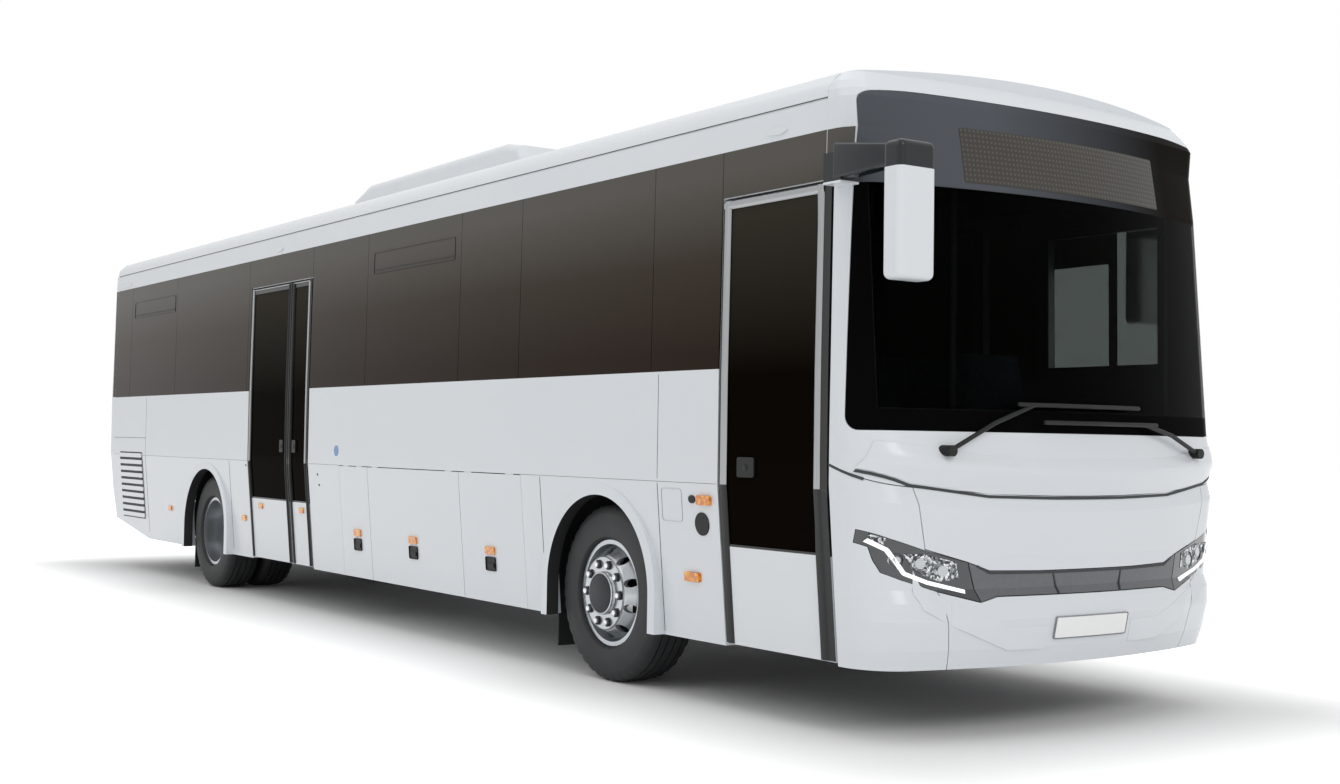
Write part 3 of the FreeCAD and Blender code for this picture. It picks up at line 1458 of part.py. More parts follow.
def passenger_seats():
    low, inner, outer = d.cushion_low, d.seat_inner, d.seat_outer
    leg_in = inner + d.leg_width
    pair = fuse("seat_pair", [
        prism("seat_pad", "Y", inner, outer, [seat_profile(0, low, d.backrest_high)]),
        box("seat_leg", d.leg_width, d.cushion_deep - d.leg_width, leg_in, leg_in + d.leg_width,
            d.floor_high + d.seat_gap, low + d.leg_width / 2)])
    doc.recompute()
    left = pair.Shape.copy()
    right = left.mirror(FreeCAD.Vector(0, 0, 0), FreeCAD.Vector(0, 1, 0))
    pitch, first = float(d.row_pitch), float(d.first_row)
    step_up = float(d.platform_high - d.floor_high)
    seats = []
    rows = int((first + float(d.platform_start)) / pitch)
    for row in range(rows):
        station = first - row * pitch
        seats.append(left.translated(FreeCAD.Vector(station, 0, 0)))
        behind_well = -float(d.mid_door_rear + d.well_wall + d.cushion_deep)
        if not behind_well < station < -float(d.mid_door_front - d.well_row_gap):
            seats.append(right.translated(FreeCAD.Vector(station, 0, 0)))
    last = -float(d.platform_rear - d.rear_row_gap)
    for station in (last + pitch, last):
        for seat in (left, right):
            seats.append(seat.translated(FreeCAD.Vector(station, 0, step_up)))
    put_freeform("passenger_seats", Part.makeCompound(seats))


def driver_seat():
    low = d.cushion_low
    middle_line, half = d.driver_middle, d.driver_seat_half
    pad = prism("driver_pad", "Y", middle_line - half, middle_line + half,
                [seat_profile(d.driver_row, low, d.backrest_high)])
    base = box("driver_base", d.driver_row + d.leg_width, d.driver_row + d.cushion_deep - d.leg_width,
               middle_line - half + d.leg_width, middle_line + half - d.leg_width,
               d.floor_high + d.seat_gap, low + d.leg_width / 2)
    group("driver_seat", [fuse("driver_solid", [pad, base])])


def dashboard():
    rear, front, low, high = d.dash_rear, d.dash_front, d.dash_low, d.dash_high
    brow, foot = d.dash_brow, d.dash_foot
    foot_front = d.floor_front - d.well_wall
    outline = [(rear, low), (foot_front - foot, low), (foot_front - foot, d.floor_high + d.seat_gap),
               (foot_front, d.floor_high + d.seat_gap), (foot_front, low), (front, low),
               (front, high - brow / 4), (rear + brow, high), (rear, high - brow)]
    body = prism("dash_body", "Y", -d.dash_right, d.dash_left, [outline])
    socket = steering_column("column_socket", d.column_radius + d.seat_gap)
    group("dashboard", [cut("dash_cut", body, [socket])])


COLUMN_RAKE = 30


def steering_column(name, radius):
    """The column's cylinder, from the wheel's hub forward and down into the dashboard."""
    column = doc.addObject("Part::Cylinder", name)
    bind(column, "Radius", radius)
    bind(column, "Height", d.column_length)
    column.Placement = FreeCAD.Placement(FreeCAD.Vector(0, 0, 0),
                                         FreeCAD.Rotation(FreeCAD.Vector(0, 1, 0), 180 - COLUMN_RAKE))
    bind(column, "Placement.Base.x", d.wheel_station)
    bind(column, "Placement.Base.y", d.driver_middle)
    bind(column, "Placement.Base.z", d.wheel_high)
    return column


def steering_wheel():
    turn = FreeCAD.Rotation(FreeCAD.Vector(0, 1, 0), -COLUMN_RAKE)
    torus = doc.addObject("Part::Torus", "wheel_torus")
    bind(torus, "Radius1", d.wheel_rim - d.wheel_tube)
    bind(torus, "Radius2", d.wheel_tube)
    spokes = []
    for number, angle in enumerate((0, 120, 240)):
        spoke = doc.addObject("Part::Cylinder", "spoke_%d" % number)
        bind(spoke, "Radius", d.wheel_tube / 2)
        bind(spoke, "Height", d.wheel_rim - d.wheel_tube)
        spokes.append((spoke, turn.multiply(FreeCAD.Rotation(FreeCAD.Vector(0, 0, 1), angle)).multiply(
            FreeCAD.Rotation(FreeCAD.Vector(0, 1, 0), 90))))
    for piece, rotation in [(torus, turn)] + spokes:
        piece.Placement = FreeCAD.Placement(FreeCAD.Vector(0, 0, 0), rotation)
        bind(piece, "Placement.Base.x", d.wheel_station)
        bind(piece, "Placement.Base.y", d.driver_middle)
        bind(piece, "Placement.Base.z", d.wheel_high)
    column = steering_column("column", d.column_radius)
    subpart(fuse("steering_wheel", [torus, column] + [spoke for spoke, _ in spokes]), "steering_wheel")


passenger_seats()
driver_seat()
dashboard()
steering_wheel()


# Outside fittings

def mirror_head(front, middle_line, side):
    """Housing with every edge rounded."""
    wide, deep = d.mirror_wide / 2, d.mirror_deep
    head = block(front - deep, front, (middle_line - wide) * side, (middle_line + wide) * side,
                 d.mirror_low, d.mirror_high)
    return head.makeFillet(float(d.mirror_round), head.Edges)


def mirror_arm(side, line, ends, foot_ends, foot_low, foot_high):
    """A bar beside the coach at a distance from its middle, and the foot that holds it to the body."""
    half = d.mirror_arm_wide / 2
    low, high = d.mirror_arm_low, d.mirror_arm_high
    bar = block(ends[0], ends[1], (line - half) * side, (line + half) * side, low, high)
    long_edges = [edge for edge in bar.Edges if edge.BoundBox.XLength > float(d.mirror_deep)]
    foot = block(foot_ends[0], foot_ends[1], (side_out(foot_low) - half) * side, (line + half) * side,
                 foot_low, foot_high)
    return [bar.makeFillet(float(half / 2), long_edges), foot]


def mirrors():
    """The right mirror hangs ahead of the nose, and the left one beside the driver's window."""
    half, deep = d.mirror_arm_wide / 2, d.mirror_deep
    arm = mirror_arm(RIGHT, d.mirror_half, (d.mirror_foot_rear + half, d.mirror_reach - deep / 2),
                     (d.mirror_foot_rear, d.mirror_foot_front), d.mirror_foot_low, d.mirror_foot_high)
    right = mirror_head(d.mirror_reach, d.mirror_half, RIGHT).fuse(arm)
    front, line = d.left_mirror_front, d.left_mirror_half
    arm = mirror_arm(LEFT, line, (front - deep / 2, d.left_foot_front - half / 2),
                     (d.left_foot_rear, d.left_foot_front), d.mirror_arm_low, d.mirror_arm_high)
    left = mirror_head(front, line, LEFT).fuse(arm)
    walls = [nose.solid(-d.seat_gap), wall_space(d.seat_gap)]
    put_freeform("mirrors", Part.makeCompound([largest(right.cut(walls)), largest(left.cut(walls))]))


def largest(shape):
    return max(shape.Solids, key=lambda solid: solid.Volume)


def wall_space(grow):
    """The room between the walls' outer faces from their front joint to the tail, grown by an amount."""
    heights = (d.skirt_low, d.belt_high, d.sill_high, d.head_high, d.gutter_high)
    edge = [(float(side_out(height) + grow), float(height)) for height in heights]
    outline = edge + [(-across, high) for across, high in reversed(edge)]
    face = faced([FreeCAD.Vector(-float(d.tail_reach), across, high) for across, high in outline])
    return face.extrude(FreeCAD.Vector(float(d.wall_front + d.tail_reach), 0, 0))


def tube(points, radius):
    """A round bar through points, with a ball at each bend."""
    bars = [Part.makeCylinder(radius, (finish - start).Length, start, finish - start)
            for start, finish in zip(points, points[1:])]
    balls = [Part.makeSphere(radius, point) for point in points]
    return bars[0].fuse(bars[1:] + balls)


def nose_point(across, high, stand):
    """A point that stands off the windscreen's bowed face."""
    heights = [level[0] for level in nose.levels]
    tips = [nose.reach - level[2] for level in nose.levels]
    place = next(number for number, level in enumerate(heights) if level >= float(high))
    share = (float(high) - heights[place - 1]) / (heights[place] - heights[place - 1])
    tip = tips[place - 1] + (tips[place] - tips[place - 1]) * share
    bow = float(d.bow_radius)
    face = tip - bow + math.sqrt(bow ** 2 - float(across) ** 2)
    return FreeCAD.Vector(face + float(stand), float(across), float(high))


LEFT_DROP_SHARE = 0.9
HEEL_SHARE = 0.125


def wipers():
    pieces = []
    stand, blade = d.wiper_stand, d.wiper_blade_reach
    for side in (RIGHT, LEFT):
        drop = (d.wiper_tip_high - d.wiper_elbow_high) * (0 if side == RIGHT else LEFT_DROP_SHARE)
        pivot = nose_point(d.wiper_pivot_half * side, d.wiper_pivot_high, stand)
        elbow = nose_point(d.wiper_elbow_half * side, d.wiper_elbow_high - drop / 2, stand)
        high = d.wiper_tip_high - drop
        tip = nose_point(d.wiper_tip_half * side, high, stand)
        heel = nose_point((d.wiper_tip_half + blade * HEEL_SHARE) * side, high, stand)
        waist = nose_point((d.wiper_tip_half - blade / 2) * side, high, stand)
        toe = nose_point((d.wiper_tip_half - blade) * side, high, stand)
        foot = pivot - FreeCAD.Vector(float(stand + stand / 2), 0, 0)
        boss = Part.makeCylinder(float(d.wiper_boss), float(stand) * 2, foot, FreeCAD.Vector(1, 0, 0))
        arm = tube([pivot, elbow, tip], float(d.wiper_tube))
        rubber = tube([heel, tip, waist, toe], float(d.wiper_tube))
        pieces.append(largest(boss.fuse([arm, rubber]).cut(nose.solid(-d.seat_gap))))
    put_freeform("wipers", Part.makeCompound(pieces))


def mudflaps():
    pieces = []
    for name, station in (("front", 0), ("rear", -d.wheelbase)):
        for word, side in (("right", RIGHT), ("left", LEFT)):
            outer = d.box_outer_half - d.mudflap_thick * 2
            inner = outer - d.mudflap_wide * (1 if name == "front" else 2)
            span = (-outer, -inner) if side == RIGHT else (inner, outer)
            start = station - d.box_radius
            pieces.append(box("mudflap_%s_%s" % (name, word), start, start + d.mudflap_thick,
                              span[0], span[1], d.mudflap_low, d.box_low - d.seat_gap))
    group("mudflaps", pieces)


MARKER_STATIONS = (-d.marker_first, -d.marker_second, d.marker_third)


def side_lamps():
    pieces = []
    for word, side in (("right", RIGHT), ("left", LEFT)):
        for number, station in enumerate(MARKER_STATIONS):
            outline = side_strip(side, d.marker_low, d.marker_high, -d.lamp_proud, d.lamp_proud - d.seat_gap)
            name = "marker_%s_%d" % (word, number)
            pieces.append(prism(name, "X", station, station + d.marker_long, [outline]))
    group("side_lamps", pieces)


mirrors()
wipers()
mudflaps()
side_lamps()


# Check every object, then write each piece

doc.recompute()
for obj in doc.Objects:
    if "Invalid" in obj.State or "Error" in obj.State:
        raise RuntimeError("%s failed: %s" % (obj.Name, obj.State))
for pocket in CUTS:
    base = pocket.BaseFeature
    if base is not None and pocket.Shape.Volume >= base.Shape.Volume:
        raise RuntimeError("%s cuts nothing" % pocket.Name)
os.makedirs("parts", exist_ok=True)
for piece in SUBPARTS:
    if piece.Shape.isNull() or not piece.Shape.isValid():
        raise RuntimeError("%s has no valid shape" % piece.Label)
    piece.Shape.exportStep("parts/%s.step" % piece.Label)
    print(piece.Label, len(piece.Shape.Solids), round(piece.Shape.Volume / 1e9, 4))
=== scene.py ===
import math

import bmesh
import bpy
from bpy.props import FloatProperty, FloatVectorProperty, IntProperty, PointerProperty
from mathutils import Matrix, Vector
from mathutils.bvhtree import BVHTree


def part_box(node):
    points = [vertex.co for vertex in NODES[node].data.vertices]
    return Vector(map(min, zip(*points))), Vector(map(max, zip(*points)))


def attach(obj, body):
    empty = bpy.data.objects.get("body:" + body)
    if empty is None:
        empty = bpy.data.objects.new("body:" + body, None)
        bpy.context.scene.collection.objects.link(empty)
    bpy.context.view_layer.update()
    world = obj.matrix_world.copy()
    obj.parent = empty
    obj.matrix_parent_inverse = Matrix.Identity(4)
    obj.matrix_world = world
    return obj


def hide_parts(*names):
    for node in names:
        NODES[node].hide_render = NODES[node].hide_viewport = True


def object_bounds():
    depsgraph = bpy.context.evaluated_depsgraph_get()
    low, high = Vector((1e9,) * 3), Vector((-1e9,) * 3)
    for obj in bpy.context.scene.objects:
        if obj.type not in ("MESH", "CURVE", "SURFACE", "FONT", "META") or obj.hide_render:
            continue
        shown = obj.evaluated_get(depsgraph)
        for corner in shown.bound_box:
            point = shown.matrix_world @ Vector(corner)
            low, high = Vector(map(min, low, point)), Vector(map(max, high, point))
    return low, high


bl_info = {
    "name": "Coach bus looks",
    "version": (1, 0, 0),
    "blender": (4, 5, 0),
    "location": "View3D > Sidebar > Coach",
    "description": "Finishes, trims, seats, tyres and lamps around a packed coach bus",
    "category": "Object",
}

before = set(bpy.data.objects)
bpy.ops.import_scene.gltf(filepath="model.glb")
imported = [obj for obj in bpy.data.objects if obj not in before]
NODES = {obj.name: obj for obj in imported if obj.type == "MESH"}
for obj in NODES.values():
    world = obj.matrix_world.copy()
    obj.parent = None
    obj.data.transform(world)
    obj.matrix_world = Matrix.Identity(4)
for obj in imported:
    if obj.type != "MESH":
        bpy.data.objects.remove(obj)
CAD_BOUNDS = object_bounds()
X, Y, Z = 0, 1, 2
RIGHT, LEFT = -1, 1
SIDES = ((RIGHT, "right"), (LEFT, "left"))
MM = 0.001


def middle_of(node):
    low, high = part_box(node)
    return (low + high) / 2


AXLE = middle_of("rim_front_right").x
REAR_AXLE = middle_of("rim_rear_right").x


def station(along):
    """A place along the coach, measured forward from the front axle."""
    return AXLE + along


# Colours and sizes

def linear(code):
    """An sRGB hex colour as linear red, green, blue and alpha."""
    shares = [int(code[i:i + 2], 16) / 255 for i in (0, 2, 4)]
    return [s / 12.92 if s <= 0.04045 else ((s + 0.055) / 1.055) ** 2.4 for s in shares] + [1]


def colour_prop(name, code, description):
    return FloatVectorProperty(name=name, description=description, subtype="COLOR", size=4, min=0, max=1,
                               default=linear(code))


def length_prop(name, millimetres, description):
    return FloatProperty(name=name, description=description, default=millimetres * MM, unit="LENGTH", min=0)


class CoachColours(bpy.types.PropertyGroup):
    enamel: colour_prop("Body paint", "E4E8EC", "Enamel on the walls, roof, flaps and bumper")
    enamel_shade: colour_prop("Body paint shade", "DDE2E7", "Faint cloudiness in the enamel")
    # The side panes' stops pale from foot to head: the brown tint, with a painted reflection of the sky mixed in
    # higher up.
    glass: colour_prop("Side glass", "2A1D14", "Brown tint of the side panes at their foot")
    glass_middle: colour_prop("Side glass middle", "40372F", "Brown tint of the side panes halfway up")
    glass_head: colour_prop("Side glass head", "625F5A", "Brown tint of the side panes at their head")
    # The door panes: near black at the foot is painted shade of the step well behind them, and the greyer head is a
    # painted reflection.
    door_glass: colour_prop("Door glass", "0B0703", "Tint of the door panes at their foot")
    door_glass_head: colour_prop("Door glass head", "38352E", "Tint of the door panes at their head")
    screen: colour_prop("Windscreen", "585D5B", "Tint of the laminated windscreen")
    # The header band's colour is its pale right end, lightened by a painted reflection.
    band: colour_prop("Header band", "585C62", "Printed ceramic band over the windscreen")
    display: colour_prop("Display", "43403C", "Unlit dot display behind the header")
    # The lining's near-black tone is partly painted shade of the unlit cabin.
    lining: colour_prop("Lining", "2B2C2E", "Trim inside the walls, the roof and the nose")
    rubber: colour_prop("Rubber", "121314", "Door seals and pane joints")
    tyre: colour_prop("Tyre", "17191B", "Tyre rubber")
    chrome: colour_prop("Wheel chrome", "C4C8CC", "Polished wheels")
    aluminium: colour_prop("Aluminium", "A7A9AB", "Brushed door frames")
    grille: colour_prop("Grille", "66686B", "Metallic grey grille bar")
    amber: colour_prop("Amber lamp", "D8720E", "Side markers and indicators")
    red: colour_prop("Red lamp", "A01414", "Tail lamps")
    fabric: colour_prop("Seat fabric", "2E3F5C", "Woven plush of the seats")
    fabric_fleck: colour_prop("Seat fleck", "7D8CA6", "Fleck in the plush")


class CoachSizes(bpy.types.PropertyGroup):
    seam_width: length_prop("Seam", 4, "Width of the gaps between body panels")
    strip_proud: length_prop("Strip", 2, "How far strips and seals stand out")
    seal_width: length_prop("Door seal", 52, "Width of the rubber at a door's edge")
    brow_proud: length_prop("Brow", 24, "How far the brow over the front groove stands out")
    fold_proud: length_prop("Fold", 7, "How far the front's folds stand out")
    tread_depth: length_prop("Tread depth", 12, "Depth of the tyres' grooves")
    groove_width: length_prop("Groove", 10, "Width of the tyres' grooves")
    slat_pitch: length_prop("Slat pitch", 66, "Pitch of the engine bay's louvres")
    tyre_steps: IntProperty(name="Tyre steps", description="Facets round a tyre", default=120, min=24)


def colours():
    return bpy.context.scene.coach_colours


def sizes():
    return bpy.context.scene.coach_sizes


# Materials

MADE = {}


def fill(tree, node, inputs):
    """Give a node's inputs their values: a socket is linked, and a hex colour turned to linear."""
    for key, value in inputs.items():
        if isinstance(value, bpy.types.NodeSocket):
            tree.links.new(value, node.inputs[key])
        else:
            node.inputs[key].default_value = linear(value) if isinstance(value, str) else value


def add(tree, kind, inputs, out=0, **settings):
    """Add a node with its settings, values and links, and give back one of its outputs.

    Inputs go by name or number: 0, 1 and 2 of MapRange are its value and the range that it takes to 0 and 1,
    and 0, 6 and 7 of Mix are its factor and its two colours.
    """
    node = tree.nodes.new("ShaderNode" + kind)
    for key, value in settings.items():
        setattr(node, key, value)
    fill(tree, node, inputs)
    return node.outputs[out]


def shade(tree, **sockets):
    """Fill the shader's sockets, each written in small letters: base_color is Base Color."""
    fill(tree, tree.nodes["Principled BSDF"],
         {key.replace("_", " ").title().replace("Ior", "IOR"): value for key, value in sockets.items()})


def start(name, colour, roughness, **sockets):
    """A new material's tree, with its uniform values on the shader's own sockets."""
    made = MADE[name] = bpy.data.materials.new(name)
    made.use_nodes = True
    shade(made.node_tree, base_color=colour, roughness=roughness, **sockets)
    return made.node_tree


def place(tree, stretch=(1, 1, 1)):
    """Object coordinates, stretched so that a pattern runs along one axis."""
    return add(tree, "Mapping", {"Vector": add(tree, "TexCoord", {}, "Object"), "Scale": stretch})


def coordinate(tree, axis):
    """Place along an axis, in metres."""
    return add(tree, "SeparateXYZ", {0: place(tree)}, axis)


def noise(tree, size, stretch=(1, 1, 1), detail=2):
    """Noise whose largest spots have a size in metres."""
    return add(tree, "TexNoise", {"Vector": place(tree, stretch), "Scale": 1 / size, "Detail": detail}, "Fac")


def relief(tree, height, depth, strength):
    """Bump from a height between 0 and 1, with a depth in metres."""
    shade(tree, normal=add(tree, "Bump", {"Height": height, "Distance": depth, "Strength": strength}))


def blend(tree, factor, first, second):
    """Base colour that goes from first to second with a factor."""
    shade(tree, base_color=add(tree, "Mix", {0: factor, 6: first, 7: second}, 2, data_type="RGBA"))


def graded(tree, factor, stops):
    """Base colour that runs through stops of a factor."""
    scale = add(tree, "ValToRGB", {"Fac": factor})
    elements = scale.node.color_ramp.elements
    while len(elements) < len(stops):
        elements.new(0.5)
    for element, (share, colour) in zip(elements, stops):
        element.position = share
        element.color = colour
    shade(tree, base_color=scale)


def clouded(name, colour, second, roughness, cloud, grain, depth, strength, stretch=(1, 1, 1), details=(2, 2),
            **sockets):
    """A finish with clouds of a second colour over a fine relief; cloud, grain and depth are in metres."""
    tree = start(name, colour, roughness, **sockets)
    blend(tree, noise(tree, cloud, stretch, details[0]), colour, second)
    relief(tree, noise(tree, grain, stretch, details[1]), depth, strength)


def moulded(name, colour, second, roughness, grain=0.003, depth=0.0003, **sockets):
    """Moulded or rolled surface: mottled colour and an even fine grain."""
    clouded(name, colour, second, roughness, grain * 8, grain, depth, 0.35, **sockets)


def metal_coat(name, colour, second, roughness, metallic=0.4):
    """Painted or cast metal: uneven tone with a sandy relief."""
    clouded(name, colour, second, roughness, 0.06, 0.008, 0.0006, 0.3, metallic=metallic)


def two_tone(name, upper, height):
    """Glossy white enamel below a height and a dark moulded finish above it."""
    tree = start(name, colours().enamel, 0.28, coat_weight=0.1, specular_ior_level=0.3)
    level = add(tree, "MapRange", {0: coordinate(tree, Z), 1: height - MM, 2: height + MM})
    blend(tree, level, colours().enamel, upper)
    relief(tree, noise(tree, 0.004), 0.0004, 0.03)


def tinted_glass(name, node, stops, roughness, **sockets):
    """Toughened glass, nearly opaque from outside, whose colour runs through stops up the pane: its own tint, paled
    towards the head by a painted reflection, and in the door panes with painted shade at the foot.

    The panes' reflections are faint in daylight, so the IOR is below that of clear glass.
    """
    tree = start(name, stops[0][1], roughness, **sockets)
    low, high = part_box(node)
    graded(tree, add(tree, "MapRange", {0: coordinate(tree, Z), 1: low.z, 2: high.z}), stops)
    relief(tree, noise(tree, 0.7), 0.004, 0.05)


def screen_glass():
    """Laminated windscreen: clear below the header, with a printed ceramic band above and round its edge; the header
    band pales towards the right with a painted reflection.
    """
    tree = start("laminated_glass_printed_band_painted_reflection", colours().screen, 0.03, ior=1.06, specular_ior_level=0.15)
    low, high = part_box("windscreen")
    height, across = coordinate(tree, Z), coordinate(tree, Y)
    head = add(tree, "MapRange", {0: height, 1: low.z + 1.144, 2: low.z + 1.145})
    foot = add(tree, "MapRange", {0: height, 1: low.z + 0.101, 2: low.z + 0.1})
    edge = add(tree, "Math", {0: across}, operation="ABSOLUTE")
    sides = add(tree, "MapRange", {0: edge, 1: high.y - 0.081, 2: high.y - 0.08})
    rim = add(tree, "Math", {0: foot, 1: sides}, operation="MAXIMUM")
    # Across the coach the header band runs from pale grey on the right to near black on the left: a painted reflection
    # over the dark print.
    over = add(tree, "MapRange", {0: across, 1: -0.5, 2: 0.8})
    header = add(tree, "Mix", {0: over, 6: colours().band, 7: "1B1917"}, 2, data_type="RGBA")
    printed = add(tree, "Mix", {0: head, 6: "0A0A0B", 7: header}, 2, data_type="RGBA")
    band = add(tree, "Math", {0: rim, 1: head}, operation="MAXIMUM")
    blend(tree, band, colours().screen, printed)
    shade(tree, transmission_weight=add(tree, "Math", {0: 1, 1: band}, operation="SUBTRACT"))


def faceted_reflector():
    """Vacuum-metallised reflector in 13 mm facets, each toned from near black to near white with painted reflections,
    so that it sparkles unevenly.
    """
    tree = start("metallised_reflector_painted_glints", "C8CBCD", 0.16, metallic=0.85, coat_weight=0.6)
    cells = add(tree, "TexVoronoi", {"Vector": place(tree), "Scale": 1 / 0.013}, "Color")
    graded(tree, add(tree, "SeparateColor", {0: cells}),
           [(0.15, linear("1D2021")), (0.5, linear("6F7376")), (0.95, linear("D4D8DA"))])
    relief(tree, cells.node.outputs["Distance"], 0.004, 0.6)


def amber_lens():
    """Moulded amber acrylic over a bulb: dark orange with clouds of yellow that are painted highlights."""
    tree = start("amber_acrylic_painted_highlights", colours().amber, 0.15, coat_weight=0.5)
    blend(tree, add(tree, "MapRange", {0: noise(tree, 0.02), 1: 0.42, 2: 0.68}), colours().amber, "FFBC3A")
    relief(tree, noise(tree, 0.006), 0.0008, 0.4)


def lens(name, colour, second, glow=0.0):
    """Moulded acrylic lens: clear colour over optic ribs, 8 mm apart so that they show."""
    tree = start(name, colour, 0.12, coat_weight=0.6, emission_color=colour, emission_strength=glow)
    ribs = add(tree, "TexWave", {"Vector": place(tree), "Scale": 40}, "Fac", bands_direction="Z")
    blend(tree, ribs, colour, second)
    relief(tree, ribs, 0.0006, 0.4)


def plush():
    """Woven plush: a rib every 8 mm along the seat, with paler flecks and a soft sheen."""
    tree = start("woven_plush_blue", colours().fabric, 0.85, sheen_weight=0.3, sheen_roughness=0.5)
    fleck = add(tree, "MapRange", {0: noise(tree, 0.018), 1: 0.58, 2: 0.66})
    blend(tree, fleck, colours().fabric, colours().fabric_fleck)
    rib = add(tree, "TexWave", {"Vector": place(tree), "Scale": 40, "Distortion": 1.5}, "Fac", bands_direction="Y")
    relief(tree, rib, 0.0015, 0.5)


def display_glass():
    """Unlit dot display: dull dots on a grey board, 24 mm apart so that they show."""
    tree = start("dot_display_unlit", colours().display, 0.35, specular_ior_level=0.2)
    waves = [add(tree, "TexWave", {"Vector": place(tree), "Scale": 13}, "Fac", bands_direction=way) for way in "YZ"]
    rows, columns = [add(tree, "MapRange", {0: wave, 1: 0.45, 2: 0.8}) for wave in waves]
    blend(tree, add(tree, "Math", {0: rows, 1: columns}, operation="MULTIPLY"), colours().display, "5B5852")


def make_materials():
    own = colours()
    # Sprayed enamel: pale and evenly glossy, with faint clouds and orange peel.
    clouded("acrylic_enamel_white", own.enamel, own.enamel_shade, 0.26, 1.6, 0.02, 0.0006, 0.12, coat_weight=0.15,
            coat_roughness=0.08, specular_ior_level=0.35)
    # Brown panes: darker towards their foot, and paler towards their head with a painted reflection of the sky.
    tinted_glass("toughened_glass_brown_painted_reflection", "glazing_right",
                 [(0.08, own.glass), (0.5, own.glass_middle), (0.9, own.glass_head)], 0.05,
                 transmission_weight=0.12, ior=1.2, specular_ior_level=0.2)
    # Door panes: near black at their foot, painted shade of the step well behind them, and greyer at their head, a
    # painted reflection.
    tinted_glass("toughened_glass_painted_shade_and_reflection", "front_door_glass", [(0.5, own.door_glass), (0.97, own.door_glass_head)],
                 0.04, transmission_weight=0.06, ior=1.15, specular_ior_level=0.005)
    # Driver's window: a faint green cast with gentle waves.
    clouded("toughened_glass_clear", "DFE3E0", "D5DAD7", 0.04, 0.8, 0.7, 0.004, 0.05, transmission_weight=0.95,
            ior=1.15, specular_ior_level=0.2)
    screen_glass()
    # Anodised extrusion, brushed along its length: soft streaks and a broken highlight.
    clouded("anodised_aluminium_brushed", own.aluminium, "8F9193", 0.34, 0.002, 0.002, 0.0002, 0.2, (1, 1, 0.02),
            (4, 4), metallic=1)
    # Chromed wheel: bright, with polishing marks and a film of dust that keep it from a clean mirror.
    clouded("chromed_steel_polished", own.chrome, "A5A9AD", 0.24, 0.006, 0.006, 0.0002, 0.08, (1, 0.1, 1), (3, 3),
            metallic=0.75)
    # Vulcanised rubber: near black and matt, with a dusty bloom in soft clouds.
    clouded("vulcanised_tyre_rubber", own.tyre, "2A2B2D", 0.62, 0.09, 0.003, 0.0004, 0.3, details=(5, 2))
    plush()
    display_glass()
    # White below the glass or on the mirror's back, black or slate above.
    two_tone("door_leaf_enamel_and_black", "1A1B1C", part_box("front_door_glass")[0].z - 12 * MM)
    two_tone("mirror_housing_white_and_slate", "1D2325", 2.57)
    # Rubbers and plastics: matt where they are grained, and a soft shine where they are smooth.
    moulded("extruded_rubber_black", own.rubber, "1D1E20", 0.6)
    moulded("textured_plastic_black", "0D0E0F", "141516", 0.5, grain=0.002, specular_ior_level=0.3)
    moulded("retroreflective_sheet_white", "FBFBFB", "F4F5F5", 0.4, grain=0.002)
    moulded("gloss_plastic_white", own.enamel, "DDE1E4", 0.3, grain=0.01, depth=0.0002)
    moulded("gloss_plastic_slate", "1D2325", "252B2E", 0.25, grain=0.01, depth=0.0002, specular_ior_level=0.3)
    moulded("grille_plastic_metallic", own.grille, "5C5E61", 0.36, metallic=0.5)
    moulded("dashboard_soft_skin", "26282C", "303338", 0.7, grain=0.004, depth=0.0006)
    moulded("vinyl_floor_grey", "4B4E53", "5A5D62", 0.6, grain=0.006)
    moulded("lamp_housing_smoked", "24292A", "32373A", 0.12, metallic=0.3, coat_weight=0.8)
    moulded("lining_grey_and_painted_shade", own.lining, "333437", 0.75, grain=0.004)
    moulded("nut_cap_polished", "F0F2F4", "D8DBDE", 0.2, grain=0.01, metallic=0.7)
    moulded("hub_cap_black_and_painted_shadow", "202225", "191B1D", 0.4, grain=0.004, specular_ior_level=0.3)
    moulded("lamp_reflector_bright", "E4E7E9", "C4C8CB", 0.2, metallic=0.7)
    # Gaps between panels: a dark line for an open seam and a soft grey one for a close fit.
    moulded("seam_shadow_grey", "3C4043", "2C2F31", 0.7)
    moulded("soft_line_grey", "8F959A", "81878C", 0.5)
    # Metals under the floor and in the cabin: dull where cast or painted, brighter where drawn or galvanised.
    metal_coat("cast_iron_black", "2A2B2D", "3A3B3D", 0.55)
    metal_coat("chassis_enamel_black", "1C1D1F", "28292B", 0.42, 0.1)
    metal_coat("steel_tube_brushed", "8E9092", "747678", 0.35, 0.9)
    metal_coat("galvanised_sheet", "9A9C9D", "B2B4B5", 0.45, 0.8)
    faceted_reflector()
    amber_lens()
    lens("red_acrylic", own.red, "6E0C0C")
    lens("clear_acrylic", "DCE0E2", "B9BEC2")
    lens("daylight_strip_white", "FFFFFF", "F1F5FA", 0.5)
    lens("mirror_silvered", "B8C0C6", "B2BAC0")
    lens("badge_disc_blue", "3F7FC1", "3A75B3")


